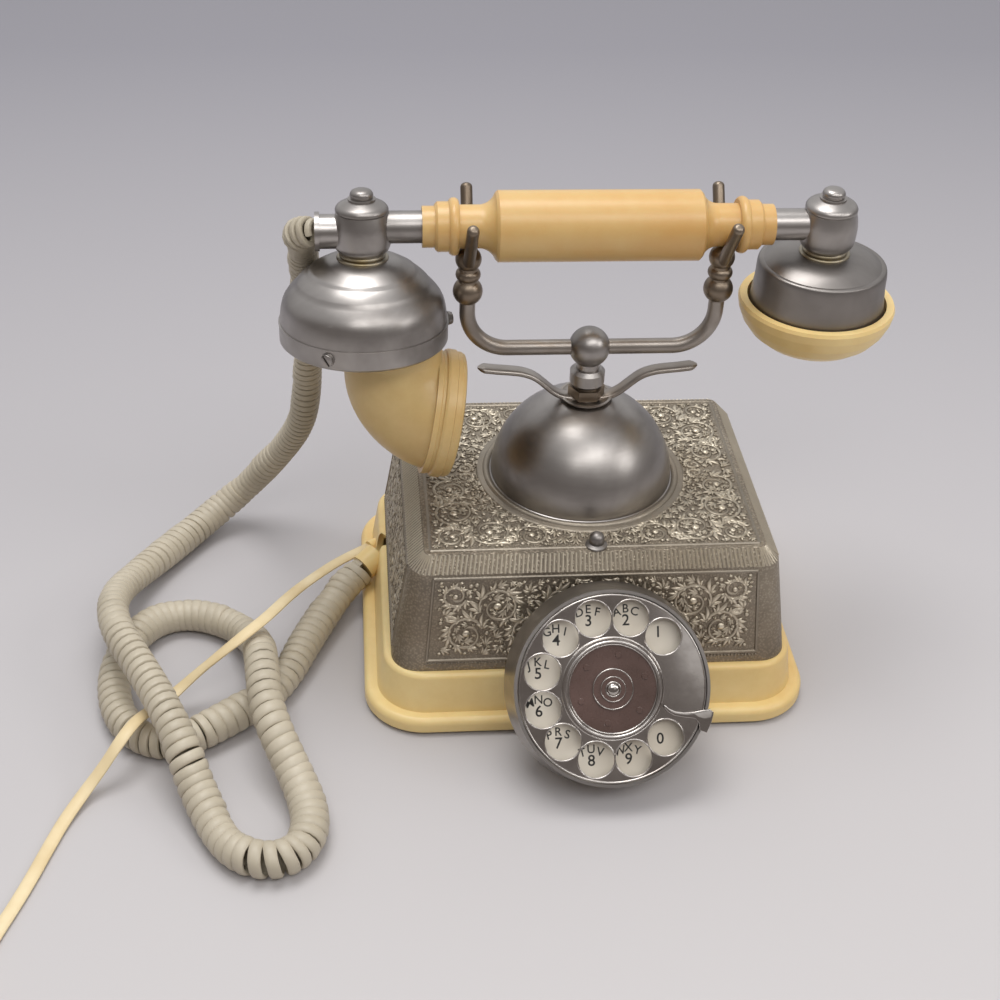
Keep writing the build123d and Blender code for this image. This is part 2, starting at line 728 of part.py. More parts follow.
with BuildPart() as neck_nut:
    with BuildSketch(Plane.XY.offset(wing_disc_top)):
        RegularPolygon(radius=nut_radius, side_count=6)
        Circle(sleeve_radius + thread_gap, mode=Mode.SUBTRACT)
    extrude(amount=nut_height)
write_piece(neck_nut, "neck_nut")

with BuildPart() as neck_sleeve:
    with BuildSketch(Plane.XY.offset(panel_under - sleeve_flange_height)):
        Circle(sleeve_flange)
    extrude(amount=sleeve_flange_height)
    with BuildSketch(Plane.XY.offset(panel_under)):
        Circle(sleeve_radius)
    extrude(amount=sleeve_top - panel_under)
    with BuildSketch(Plane.XY.offset(panel_under - sleeve_flange_height)):
        Circle(sleeve_bore)
    extrude(amount=sleeve_top, mode=Mode.SUBTRACT)
write_piece(neck_sleeve, "neck_sleeve")

# ==== cradle ============================================================================

with BuildPart() as cradle_ball:
    neck_meets = ball_z - sqrt(ball_radius**2 - cradle_neck_radius**2)
    with BuildSketch(Plane.XZ):
        with BuildLine():
            foot = Polyline(
                (0, collar_z), (collar_radius - collar_round, collar_z),
                (collar_radius, collar_z + collar_round),
                (collar_radius, collar_z + collar_height - collar_round),
                (collar_radius - collar_round, collar_z + collar_height),
                (cradle_neck_radius, collar_z + collar_height), (cradle_neck_radius, neck_meets),
            )
            ThreePointArc(foot @ 1, (ball_radius, ball_z), (0, ball_z + ball_radius))
            Line((0, ball_z + ball_radius), (0, collar_z))
        make_face()
    revolve(axis=Axis.Z)
    with BuildSketch(Plane.XY.offset(collar_z)):
        Circle(rod_radius + thread_gap)
    extrude(amount=rod_bore_depth, mode=Mode.SUBTRACT)
    with BuildSketch(Plane.YZ):
        with Locations((0, ball_z)):
            Circle(yoke_radius + thread_gap)
    extrude(amount=ball_radius, both=True, mode=Mode.SUBTRACT)
write_piece(cradle_ball, "cradle_ball")

yoke_top = fork_ball_z - yoke_tip_drop

with BuildPart() as cradle_yoke:
    with BuildLine(Plane.XZ) as yoke_path:
        FilletPolyline(
            (-yoke_half, yoke_top), (-yoke_half, ball_z), (yoke_half, ball_z), (yoke_half, yoke_top),
            radius=yoke_bend,
        )
    with BuildSketch(Plane(origin=yoke_path.line @ 0, z_dir=yoke_path.line % 0)):
        Circle(yoke_radius)
    sweep()
write_piece(cradle_yoke, "cradle_yoke")

for side, fork_name in ((-1, "fork_left"), (1, "fork_right")):
    fork_x = side * yoke_half
    rise_across = cos(radians(prong_angle))
    rise_up = sin(radians(prong_angle))
    prong_clear = grip_neck_radius + seat_gap + prong_radius
    with BuildPart() as fork:
        waist_reach = sqrt(fork_ball_radius**2 - fork_waist**2)
        bead_z = fork_ball_z - bead_drop
        ring_z = fork_ball_z - ring_drop
        bead_low = bead_z - bead_half
        bead_high = bead_z + bead_half
        with BuildSketch(Plane(origin=(fork_x, 0, 0), x_dir=(1, 0, 0), z_dir=(0, -1, 0))):
            with BuildLine():
                ThreePointArc((fork_waist, bead_low), (bead_radius, bead_z), (fork_waist, bead_high))
                Line((fork_waist, bead_high), (fork_waist, ring_z - ring_half))
                ring_top = (fork_waist, ring_z + ring_half)
                ThreePointArc((fork_waist, ring_z - ring_half), (ring_radius, ring_z), ring_top)
                Line(ring_top, (fork_waist, fork_ball_z - waist_reach))
                ThreePointArc(
                    (fork_waist, fork_ball_z - waist_reach), (fork_ball_radius, fork_ball_z),
                    (0, fork_ball_z + fork_ball_radius),
                )
                Polyline((0, fork_ball_z + fork_ball_radius), (0, bead_low), (fork_waist, bead_low))
            make_face()
        revolve(axis=Axis((fork_x, 0, 0), (0, 0, 1)))
        for hand in (-1, 1):
            prong_way = Vector(0, hand * rise_across, rise_up)
            touch = Vector(fork_x, hand * prong_clear * rise_up, handset_z - prong_clear * rise_across)
            with BuildSketch(Plane(origin=touch - prong_way * prong_below, z_dir=prong_way)):
                Circle(prong_radius)
            extrude(amount=prong_below + prong_above)
            tip = touch + prong_way * prong_above
            fillet(fork.edges().filter_by(GeomType.CIRCLE).sort_by_distance(tip)[0], 0.8 * prong_radius)
        with BuildSketch(Plane(origin=(fork_x, 0, bead_low))):
            Circle(yoke_radius + thread_gap)
        extrude(amount=yoke_top - bead_low + thread_gap, mode=Mode.SUBTRACT)
    write_piece(fork, fork_name)

with BuildPart() as plunger_rod:
    with BuildSketch(Plane.XZ):
        closed_outline(
            (0, nose_z), (0.6 * nose_radius, nose_z), (nose_radius, nose_z + nose_radius),
            (nose_radius, bracket_z),
            (rod_radius, bracket_z), (rod_radius, washer_z), (washer_radius, washer_z),
            (washer_radius, washer_z + washer_height), (rod_radius, washer_z + washer_height),
            (rod_radius, collar_z + rod_bore_depth), (0, collar_z + rod_bore_depth),
        )
    revolve(axis=Axis.Z)
write_piece(plunger_rod, "plunger_rod")

# ==== switch under the cradle ===========================================================

with BuildPart() as plunger_spring:
    coil_rise = spring_height - 2 * spring_wire - 2 * thread_gap
    with BuildLine() as spring_path:
        coil_foot = spring_foot + spring_wire + thread_gap
        Helix(coil_rise / spring_turns, coil_rise, spring_radius, center=(0, 0, coil_foot))
    with BuildSketch(Plane(origin=spring_path.line @ 0, z_dir=spring_path.line % 0)):
        Circle(spring_wire)
    sweep(is_frenet=True)
write_piece(plunger_spring, "plunger_spring")

with BuildPart() as switch_bracket:
    with BuildSketch(Plane.XZ):
        inner_half = bracket_half_x - bracket_thickness
        foot_half = bracket_half_x + bracket_foot_reach
        closed_outline(
            (-foot_half, boss_z), (-foot_half, bracket_foot_z), (-bracket_half_x, bracket_foot_z),
            (-bracket_half_x, bracket_z), (bracket_half_x, bracket_z), (bracket_half_x, bracket_foot_z),
            (foot_half, bracket_foot_z), (foot_half, boss_z), (inner_half, boss_z),
            (inner_half, spring_foot),
            (-inner_half, spring_foot), (-inner_half, boss_z),
        )
    extrude(amount=bracket_half_y, both=True)
    with BuildSketch(Plane.XY.offset(bracket_foot_z)):
        with Locations((-bracket_screw_x, 0), (bracket_screw_x, 0)):
            Circle(screw_radius + thread_gap)
    extrude(amount=bracket_thickness, mode=Mode.SUBTRACT)
    with BuildSketch(Plane.XY.offset(bracket_z)):
        Circle(rod_radius + 2 * running_gap)
    extrude(amount=bracket_thickness, mode=Mode.SUBTRACT)
    for hand in (-1, 1):
        ear_middle = hand * (ear_gap + ear_thickness / 2)
        with BuildSketch(Plane.XZ.offset(-ear_middle)):
            with Locations((lever_pivot_x, (bracket_z + lever_pivot_z - ear_half_x) / 2)):
                Rectangle(2 * ear_half_x, bracket_z - lever_pivot_z + ear_half_x)
            with Locations((lever_pivot_x, lever_pivot_z)):
                Circle(lever_pin_radius + running_gap, mode=Mode.SUBTRACT)
        extrude(amount=ear_thickness / 2, both=True)
write_piece(switch_bracket, "switch_bracket")

with BuildPart() as hook_lever:
    arm_top = nose_z - seat_gap
    with BuildSketch(Plane.XZ):
        with Locations((lever_pivot_x, lever_pivot_z)):
            Circle(lever_hub_radius)
        arm_left = -rod_radius
        arm_right = bracket_half_x
        with Locations(((arm_left + arm_right) / 2, arm_top - lever_thickness / 2)):
            Rectangle(arm_right - arm_left, lever_thickness)
    extrude(amount=lever_width / 2, both=True)
    with BuildSketch(Plane.XZ):
        with Locations((lever_pivot_x, lever_pivot_z)):
            Circle(lever_pin_radius)
    extrude(amount=ear_gap + ear_thickness, both=True)
write_piece(hook_lever, "hook_lever")

with BuildPart() as switch_contacts:
    block_left = bracket_half_x
    block_length = 4 * contact_pitch
    block_middle_z = spring_foot + block_length
    with BuildSketch(Plane.XY.offset(block_middle_z - contact_width)):
        with Locations((block_left + block_length / 2, 0)):
            Rectangle(block_length, 2 * contact_width)
    extrude(amount=2 * contact_width)
    with BuildSketch(Plane.XY.offset(nose_z + contact_pitch)):
        for leaf in range(1, 4):
            with Locations((block_left + leaf * contact_pitch, 0)):
                Rectangle(contact_thickness, contact_width)
    extrude(amount=block_middle_z - nose_z)
write_piece(switch_contacts, "switch_contacts")

# ==== ringer and network ================================================================

for side, gong_name in ((-1, "gong_left"), (1, "gong_right")):
    gong_place = (side * gong_x, gong_y, 0)
    with BuildPart() as gong:
        gong_top = gong_rim_z + gong_height
        gong_bore = gong_post_radius - 1 + thread_gap
        with BuildSketch(Plane(origin=gong_place, x_dir=(1, 0, 0), z_dir=(0, -1, 0))):
            with BuildLine():
                rim = Line((gong_radius - gong_wall, gong_rim_z), (gong_radius, gong_rim_z))
                bow = (0.82 * gong_radius, gong_rim_z + 0.75 * gong_height)
                side_arc = ThreePointArc(rim @ 1, bow, (0.5 * gong_radius, gong_top))
                crown = Polyline(
                    side_arc @ 1, (gong_bore, gong_top), (gong_bore, gong_top - gong_wall),
                    (0.5 * gong_radius, gong_top - gong_wall),
                )
                ThreePointArc(crown @ 1, (bow[0] - gong_wall, bow[1] - gong_wall / 2), rim @ 0)
            make_face()
        revolve(axis=Axis(gong_place, (0, 0, 1)))
    write_piece(gong, gong_name)

with BuildPart() as ringer_frame:
    frame_top = base_plate_top + frame_thickness
    frame_back = coil_front_y + coil_length + frame_thickness
    post_top = gong_rim_z + gong_height - gong_wall
    post_places = [(-gong_x, gong_y), (gong_x, gong_y)]
    with BuildSketch(Plane.XY.offset(base_plate_top)):
        with Locations((0, (frame_front_y + frame_back) / 2)):
            Rectangle(2 * frame_half_x, frame_back - frame_front_y)
        for x, y in post_places:
            with Locations((x, y)):
                Circle(2 * gong_post_radius)
            with Locations((0.8 * x, (y + frame_front_y) / 2)):
                Rectangle(2 * gong_post_radius, frame_front_y - y + 2)
    extrude(amount=frame_thickness)
    with BuildSketch(Plane.XY.offset(base_plate_top)):
        with Locations(*post_places):
            Circle(gong_post_radius)
    extrude(amount=post_top - base_plate_top)
    with BuildSketch(Plane.XY.offset(base_plate_top)):
        with Locations(*post_places):
            Circle(gong_post_radius - 1)
    extrude(amount=post_top + gong_wall + 1 - base_plate_top)
    with BuildSketch(Plane.XY.offset(base_plate_top)):
        with Locations((0, clapper_y)):
            Circle(clapper_pin)
    extrude(amount=2 * (clapper_z - base_plate_top))
    with BuildSketch(Plane.XZ.offset(-coil_front_y - coil_length)):
        with Locations((0, (base_plate_top + clapper_z + coil_radius) / 2)):
            Rectangle(2 * frame_half_x, clapper_z + coil_radius - base_plate_top)
    extrude(amount=-frame_thickness)
    with BuildSketch(Plane.XZ.offset(-coil_front_y - coil_length)):
        with Locations((-coil_x, clapper_z), (coil_x, clapper_z)):
            Circle(core_radius)
    extrude(amount=coil_length + core_reach)
write_piece(ringer_frame, "ringer_frame")

with BuildPart() as ringer_coils:
    with BuildSketch(Plane.XZ.offset(-coil_front_y - coil_length)):
        with Locations((-coil_x, clapper_z), (coil_x, clapper_z)):
            Circle(coil_radius)
            Circle(core_radius + thread_gap, mode=Mode.SUBTRACT)
    extrude(amount=coil_length)
write_piece(ringer_coils, "ringer_coils")

with BuildPart() as clapper:
    clapper_hub = 2 * clapper_pin
    armature = 2.0
    with BuildSketch(Plane.XY.offset(clapper_z - clapper_ball)):
        with Locations((0, clapper_y)):
            Circle(clapper_hub)
        with Locations((0, clapper_y)):
            Rectangle(2 * coil_x + core_radius, armature)
        with Locations((0, clapper_y)):
            Circle(clapper_pin + running_gap, mode=Mode.SUBTRACT)
    extrude(amount=2 * clapper_ball)
    with BuildSketch(Plane.XZ.offset(-clapper_y + clapper_pin + thread_gap)):
        with Locations((0, clapper_z)):
            Circle(0.3 * clapper_ball)
    extrude(amount=clapper_arm - clapper_pin)
    with Locations((0, clapper_y - clapper_arm, clapper_z)):
        Sphere(clapper_ball)
write_piece(clapper, "clapper")

with BuildPart() as network_box:
    with BuildSketch(Plane.XY.offset(base_plate_top)):
        with Locations((0, box_front_y + box_depth / 2)):
            RectangleRounded(2 * box_half_x, box_depth, 2)
    extrude(amount=box_height)
    with BuildSketch(Plane.XY.offset(base_plate_top + box_height)):
        with Locations((0, box_front_y + box_depth / 2)):
            with GridLocations(box_half_x / 3, box_depth / 2, 6, 2):
                Circle(screw_radius)
    extrude(amount=screw_head_height)
write_piece(network_box, "network_box")

# ==== dial ==============================================================================

with BuildPart() as dial_drum:
    rim_inner = wheel_radius + wheel_gap
    back_inner = drum_back_radius - drum_wall
    with BuildSketch(dial_side):
        with BuildLine():
            flare_middle = (0.5 * (drum_rim_radius + drum_back_radius), -0.68 * drum_depth)
            flare = Spline(
                (drum_rim_radius, -drum_rim_depth), flare_middle, (drum_back_radius, -drum_depth),
                tangents=[(0, -1), (0.3, -1)],
            )
            Polyline(
                flare @ 1, (neck_bore, -drum_depth), (neck_bore, drum_wall - drum_depth),
                (back_inner, drum_wall - drum_depth), (rim_inner, -drum_rim_depth), (rim_inner, 0),
                (drum_rim_radius, 0), flare @ 0,
            )
        make_face()
    revolve(axis=dial_axis)
    with BuildSketch(dial_face.offset(-drum_depth + drum_wall)):
        with PolarLocations(drum_post_ring, 3, start_angle=90):
            Circle(drum_post_radius)
    extrude(amount=drum_depth - drum_wall - dial_plate_depth - dial_plate_thickness)
write_piece(dial_drum, "dial_drum")

back_plane = dial_face.offset(-drum_depth)

with BuildPart() as dial_mount:
    with BuildSketch(neck_back):
        Circle(neck_radius)
    extrude(amount=3 * neck_radius)
    split(bisect_by=back_plane, keep=Keep.BOTTOM)
    split(bisect_by=front_plane, keep=Keep.TOP)
    with BuildSketch(Plane(origin=(dial_x, neck_end_y, neck_z), x_dir=(1, 0, 0), z_dir=(0, -1, 0))):
        Circle(neck_spigot)
    extrude(amount=neck_spigot_length)
    with BuildSketch(Plane(origin=(dial_x, neck_end_y, neck_z), x_dir=(1, 0, 0), z_dir=(0, -1, 0))):
        Circle(neck_bore)
    extrude(amount=3 * neck_radius, mode=Mode.SUBTRACT)
write_piece(dial_mount, "dial_mount")

with BuildPart() as dial_plate:
    with BuildSketch(dial_face.offset(-dial_plate_depth - dial_plate_thickness)):
        Circle(rim_inner - plate_gap)
        Circle(shaft_radius + running_gap, mode=Mode.SUBTRACT)
        for teeth, angle in ((cam_teeth, cam_angle), (governor_teeth, governor_angle)):
            with PolarLocations(arbor_distance(teeth), 1, start_angle=angle):
                Circle(arbor_radius + running_gap, mode=Mode.SUBTRACT)
    extrude(amount=dial_plate_thickness)
    with BuildSketch(dial_face.offset(-dial_plate_depth)):
        with PolarLocations(drum_post_ring, 3, start_angle=90):
            Circle(drum_post_radius)
    extrude(amount=dial_plate_depth - number_depth - number_thickness)
write_piece(dial_plate, "dial_plate")

with BuildPart() as number_plate:
    with BuildSketch(dial_face.offset(-number_depth - number_thickness)):
        Circle(rim_inner - plate_gap)
        Circle(shaft_radius + plate_gap, mode=Mode.SUBTRACT)
    extrude(amount=number_thickness)
write_piece(number_plate, "number_plate")

with BuildPart() as dial_return_spring:
    with BuildSketch(dial_face.offset(-dial_plate_depth)):
        Circle(spring_case_radius)
        Circle(shaft_radius + plate_gap, mode=Mode.SUBTRACT)
    extrude(amount=dial_plate_depth - number_depth - number_thickness)
write_piece(dial_return_spring, "dial_return_spring")

with BuildPart() as dial_contacts:
    contact_angle = cam_angle + 40
    with BuildSketch(dial_face.offset(-arbor_back)):
        with PolarLocations(drum_post_ring - governor_radius, 1, start_angle=contact_angle):
            Rectangle(governor_radius, governor_radius)
    extrude(amount=arbor_back - dial_plate_depth - dial_plate_thickness)
write_piece(dial_contacts, "dial_contacts")

with BuildPart() as dial_shaft:
    with BuildSketch(dial_face.offset(-wheel_thickness - shaft_length)):
        Circle(shaft_radius)
        Circle(screw_radius + thread_gap, mode=Mode.SUBTRACT)
    extrude(amount=shaft_length)
write_piece(dial_shaft, "dial_shaft")

with BuildPart() as main_gear:
    with BuildSketch(dial_face.offset(-gear_depth - gear_thickness)):
        Polygon(*gear_outline(main_teeth, 0), align=None)
        Circle(shaft_radius + thread_gap, mode=Mode.SUBTRACT)
    extrude(amount=gear_thickness)
write_piece(main_gear, "main_gear")


def arbor_plane(teeth, angle):
    """The plane of the dial's face, moved to the arbor of a pinion that meshes with the main gear."""
    distance = arbor_distance(teeth)
    turn = radians(angle)
    place = dial_origin + dial_face.x_dir * (distance * cos(turn)) + dial_face.y_dir * (distance * sin(turn))
    return Plane(origin=place, x_dir=(1, 0, 0), z_dir=dial_out)


for arbor_name, teeth, angle, disc_radius, disc_depth in (
    ("pulse_cam", cam_teeth, cam_angle, cam_radius, gear_depth + 2 * gear_thickness),
    ("governor", governor_teeth, governor_angle, governor_radius, gear_depth + 2 * gear_thickness),
):
    with BuildPart() as arbor:
        face = arbor_plane(teeth, angle)
        with BuildSketch(face.offset(-arbor_back)):
            Circle(arbor_radius)
        extrude(amount=arbor_back - dial_plate_depth)
        with BuildSketch(face.offset(-gear_depth - gear_thickness)):
            Polygon(*gear_outline(teeth, angle + 180 + 180 / teeth), align=None)
        extrude(amount=gear_thickness)
        with BuildSketch(face.offset(-arbor_back + plate_gap)):
            if arbor_name == "pulse_cam":
                SlotOverall(2 * disc_radius, disc_radius)
            else:
                Circle(disc_radius)
        extrude(amount=arbor_back - plate_gap - disc_depth)
    write_piece(arbor, arbor_name)

with BuildPart() as finger_wheel:
    with BuildSketch(dial_face.offset(-wheel_thickness)):
        Circle(wheel_radius)
        with PolarLocations(hole_ring_radius, hole_count, first_hole, hole_step * hole_count):
            Circle(hole_radius, mode=Mode.SUBTRACT)
        Circle(screw_radius + thread_gap, mode=Mode.SUBTRACT)
    extrude(amount=wheel_thickness)
write_piece(finger_wheel, "finger_wheel")

with BuildPart() as card_ring:
    with BuildSketch(dial_face):
        Circle(card_ring_radius)
        Circle(card_radius, mode=Mode.SUBTRACT)
    extrude(amount=card_ring_height)
write_piece(card_ring, "card_ring")

with BuildPart() as card_disc:
    with BuildSketch(dial_face):
        Circle(card_radius - thread_gap)
        Circle(screw_radius + thread_gap, mode=Mode.SUBTRACT)
    extrude(amount=card_thickness)
write_piece(card_disc, "card_disc")

with BuildPart() as wheel_screw:
    with BuildSketch(dial_face.offset(card_thickness)):
        Circle(hub_radius)
    extrude(amount=hub_height)
    with BuildSketch(dial_face.offset(card_thickness + hub_height)):
        Circle(hub_screw_radius)
    extrude(amount=hub_height)
    with BuildSketch(dial_face.offset(card_thickness)):
        Circle(screw_radius)
    extrude(amount=-screw_length)
write_piece(wheel_screw, "wheel_screw")

with BuildPart() as finger_stop:
    stop_reach = drum_rim_radius + stop_thickness + running_gap
    stop_plane = Plane(
        origin=dial_origin,
        x_dir=dial_face.x_dir * cos(radians(stop_angle)) + dial_face.y_dir * sin(radians(stop_angle)),
        z_dir=dial_out,
    )
    stop_middle = (stop_inner + stop_reach) / 2
    with BuildSketch(stop_plane.offset(stop_lift)):
        with Locations((stop_middle, 0)):
            Rectangle(stop_reach - stop_inner, stop_width)
    extrude(amount=stop_thickness)
    with BuildSketch(stop_plane.offset(-drum_rim_depth)):
        with Locations((stop_middle, 0)):
            Rectangle(stop_reach - stop_inner, stop_width)
        Circle(drum_rim_radius + running_gap, mode=Mode.SUBTRACT)
    extrude(amount=drum_rim_depth + stop_lift)
    tip_edges = finger_stop.edges().filter_by(dial_axis).sort_by_distance(dial_origin)[:2]
    fillet(tip_edges, stop_width / 2.2)
write_piece(finger_stop, "finger_stop")

# ==== handset ===========================================================================

with BuildPart() as handle_barrel:
    with BuildSketch(grip_plane):
        closed_outline(
            (-barrel_half, tube_radius + thread_gap), (-barrel_half, barrel_radius - 1),
            (1 - barrel_half, barrel_radius), (barrel_half - 1, barrel_radius),
            (barrel_half, barrel_radius - 1), (barrel_half, tube_radius + thread_gap),
        )
    revolve(axis=grip_axis)
write_piece(handle_barrel, "handle_barrel")

for side, side_name in ((-1, "left"), (1, "right")):
    with BuildPart() as handle_end:
        with BuildSketch(Plane(origin=(0, 0, handset_z), x_dir=(side, 0, 0), z_dir=(0, -side, 0))):
            with BuildLine():
                bore = tube_radius + thread_gap
                start = Line((barrel_half, bore), (barrel_half, barrel_radius - 1))
                cove = RadiusArc(start @ 1, (cove_end, grip_neck_radius), -1.2 * cove_length)
                neck_line = Line(cove @ 1, (grip_neck_end, grip_neck_radius))
                bead_middle = (grip_neck_end + grip_bead_end) / 2
                bead_foot = grip_bead_radius - 1.2
                Line(neck_line @ 1, (grip_neck_end, bead_foot))
                ThreePointArc(
                    (grip_neck_end, bead_foot), (bead_middle, grip_bead_radius), (grip_bead_end, bead_foot),
                )
                Polyline(
                    (grip_bead_end, bead_foot), (grip_bead_end, grip_step_radius),
                    (grip_step_end - 1, grip_step_radius), (grip_step_end, grip_step_radius - 1),
                    (grip_step_end, grip_end_radius), (grip_end, grip_end_radius),
                    (grip_end, bore), start @ 0,
                )
            make_face()
        revolve(axis=grip_axis)
    write_piece(handle_end, f"handle_end_{side_name}")

with BuildPart() as handset_tube:
    with BuildSketch(Plane(origin=(0, 0, handset_z), z_dir=(1, 0, 0))):
        Circle(tube_radius)
        Circle(tube_radius - tube_wall, mode=Mode.SUBTRACT)
    extrude(amount=tube_end, both=True)
write_piece(handset_tube, "handset_tube")

for side, side_name, plane, axis in (
    (-1, "left", left_plane, left_axis),
    (1, "right", right_plane, right_axis),
):
    with BuildPart() as knuckle:
        with BuildSketch(plane):
            with BuildLine():
                waist_foot = (knuckle_waist, knuckle_foot)
                waist = Polyline((0, knuckle_foot), waist_foot, (knuckle_waist, knuckle_low))
                belly = (knuckle_radius, (knuckle_low + knuckle_high) / 2)
                ThreePointArc(waist @ 1, belly, (knuckle_waist, knuckle_high))
                ThreePointArc(
                    (knuckle_waist, knuckle_high), (0.8 * knuckle_waist, knuckle_top - 1.2),
                    (cap_nut_radius, knuckle_top),
                )
                Polyline((cap_nut_radius, knuckle_top), (0, knuckle_top), (0, knuckle_foot))
            make_face()
        revolve(axis=axis)
        if side < 0:
            stub_z = handset_z - stub_drop
            with BuildSketch(Plane(origin=(-knuckle_x, 0, stub_z), z_dir=(-1, 0, 0))):
                Circle(stub_radius)
            extrude(amount=stub_length)
            with BuildSketch(Plane(origin=(flange_thickness - flange_x, 0, stub_z), z_dir=(-1, 0, 0))):
                Circle(flange_radius)
            extrude(amount=flange_thickness)
        with BuildSketch(Plane(origin=(side * tube_end, 0, handset_z), z_dir=(-side, 0, 0))):
            Circle(tube_radius + thread_gap)
        extrude(amount=knuckle_radius, mode=Mode.SUBTRACT)
    write_piece(knuckle, f"knuckle_{side_name}")

with BuildPart() as cap_nuts:
    for plane, axis in ((left_plane, left_axis), (right_plane, right_axis)):
        with BuildSketch(plane):
            crown = [(0, 0), (1, 0), (1, 0.3), (0.88, 0.4), (0.84, 0.6), (0.66, 0.84), (0.34, 0.97), (0, 1)]
            closed_outline(*between((0, knuckle_top), (cap_nut_radius, knuckle_top + cap_nut_height), crown))
        revolve(axis=axis)
write_piece(cap_nuts, "cap_nuts")

with BuildPart() as transmitter_cup:
    with BuildSketch(left_plane):
        bell = between(
            (knuckle_waist, knuckle_foot), (cup_radius, band_top),
            [
                (0, 0), (0.06, 0.01), (0.16, 0.08), (0.46, 0.21), (0.54, 0.31), (0.68, 0.43), (0.79, 0.56),
                (0.88, 0.70), (0.95, 0.85), (1, 1),
            ],
        )
        shell_outline([(shell_wall, knuckle_foot), *bell], shell_wall)
    revolve(axis=left_axis)
write_piece(transmitter_cup, "transmitter_cup")

horn_foot = left_plane.from_local_coords(Vector(horn_corner - horn_gap - horn_neck_radius, band_bottom, 0))
horn_neck = Plane(origin=horn_foot, x_dir=(-1, 0, 0), z_dir=left_up * -1)

with BuildPart() as transmitter_band:
    with BuildSketch(left_plane):
        closed_outline(
            (band_radius - band_wall, band_top), (band_radius, band_top), (band_radius, band_bottom + 1),
            (band_radius - 1, band_bottom), (0, band_bottom), (0, band_bottom + band_wall),
            (band_radius - band_wall, band_bottom + band_wall),
        )
    revolve(axis=left_axis)
    with BuildSketch(horn_neck):
        Circle(horn_neck_radius - horn_wall)
    extrude(amount=-band_wall, mode=Mode.SUBTRACT)
write_piece(transmitter_band, "transmitter_band")

with BuildPart() as transmitter_capsule:
    with BuildSketch(left_plane):
        capsule_foot = band_bottom + band_wall
        closed_outline(
            (0, capsule_foot), (capsule_radius, capsule_foot),
            (capsule_radius, capsule_foot + capsule_height),
            (0, capsule_foot + capsule_height),
        )
    revolve(axis=left_axis)
write_piece(transmitter_capsule, "transmitter_capsule")

with BuildPart() as band_screws:
    for turn in band_screw_turns:
        direction = left_plane.x_dir * cos(radians(turn)) + left_plane.z_dir * -sin(radians(turn))
        middle = left_plane.from_local_coords(Vector(0, band_screw_height, 0))
        with BuildSketch(Plane(origin=middle + direction * band_radius, z_dir=direction)):
            Circle(band_screw_radius)
        extrude(amount=band_screw_reach)
write_piece(band_screws, "band_screws")


def horn_section(share):
    """Centre, plane and radius of the horn's section at a share of its bend."""
    turn = radians(horn_turn * share)
    radius = horn_neck_radius + (horn_end_radius - horn_neck_radius) * share
    reach = radius + horn_gap
    bend_height = band_bottom - horn_neck_length
    across = Vector(horn_corner - reach * cos(turn), bend_height - reach * sin(turn), 0)
    ahead = left_plane.x_dir * sin(turn) - left_up * cos(turn)
    outward = left_plane.x_dir * -cos(turn) - left_up * sin(turn)
    return Plane(origin=left_plane.from_local_coords(across), x_dir=outward, z_dir=ahead), radius


horn_bends = [horn_section(index / (horn_sections - 1)) for index in range(horn_sections)]

with BuildPart() as mouthpiece_horn:
    with BuildSketch(horn_neck):
        Circle(horn_neck_radius)
    extrude(amount=horn_neck_length)
    for section, radius in horn_bends:
        with BuildSketch(section):
            Circle(radius)
    loft()
    end_section, end_radius = horn_section(1)
    rim_plane = Plane(origin=end_section.origin, x_dir=end_section.z_dir, z_dir=left_plane.z_dir)
    with BuildSketch(rim_plane):
        rim_inside = end_radius - 0.9 * horn_wall
        closed_outline(
            (-rim_back, rim_inside),
            *between((-rim_back, rim_groove), (0, rim_radius), [(0, 0.33), (0.6, 0.33), (0.71, 0), (1, 0)]),
            *between(
                (0, rim_groove), (rim_front, rim_radius),
                [(0.05, 0.67), (0.16, 1), (0.52, 1), (0.56, 0.5), (0.78, 0.5), (0.94, 0), (1, -1)],
            ),
            (0.96 * rim_front, end_radius - 0.64 * horn_wall), (0, rim_inside),
        )
    revolve(axis=Axis(end_section.origin, end_section.z_dir))
    with BuildSketch(horn_neck):
        Circle(horn_neck_radius - horn_wall)
    extrude(amount=horn_neck_length, mode=Mode.SUBTRACT)
    for section, radius in horn_bends:
        with BuildSketch(section):
            Circle(radius - horn_wall)
    loft(mode=Mode.SUBTRACT)
write_piece(mouthpiece_horn, "mouthpiece_horn")

with BuildPart() as receiver_shell:
    with BuildSketch(right_plane):
        crown = between(
            (shell_wall, knuckle_foot), (receiver_crown_radius, receiver_crown_foot),
            [(0, 0), (0.65, 0.08), (0.79, 0.26), (0.91, 0.57), (1, 1)],
        )
        skirt = between(
            (receiver_crown_radius, receiver_crown_foot), (receiver_radius, receiver_shell_foot),
            [(0.29, 0.16), (0.54, 0.37), (0.83, 0.63), (1, 1)],
        )
        shell_outline([*crown, *skirt], shell_wall)
    revolve(axis=right_axis)
write_piece(receiver_shell, "receiver_shell")

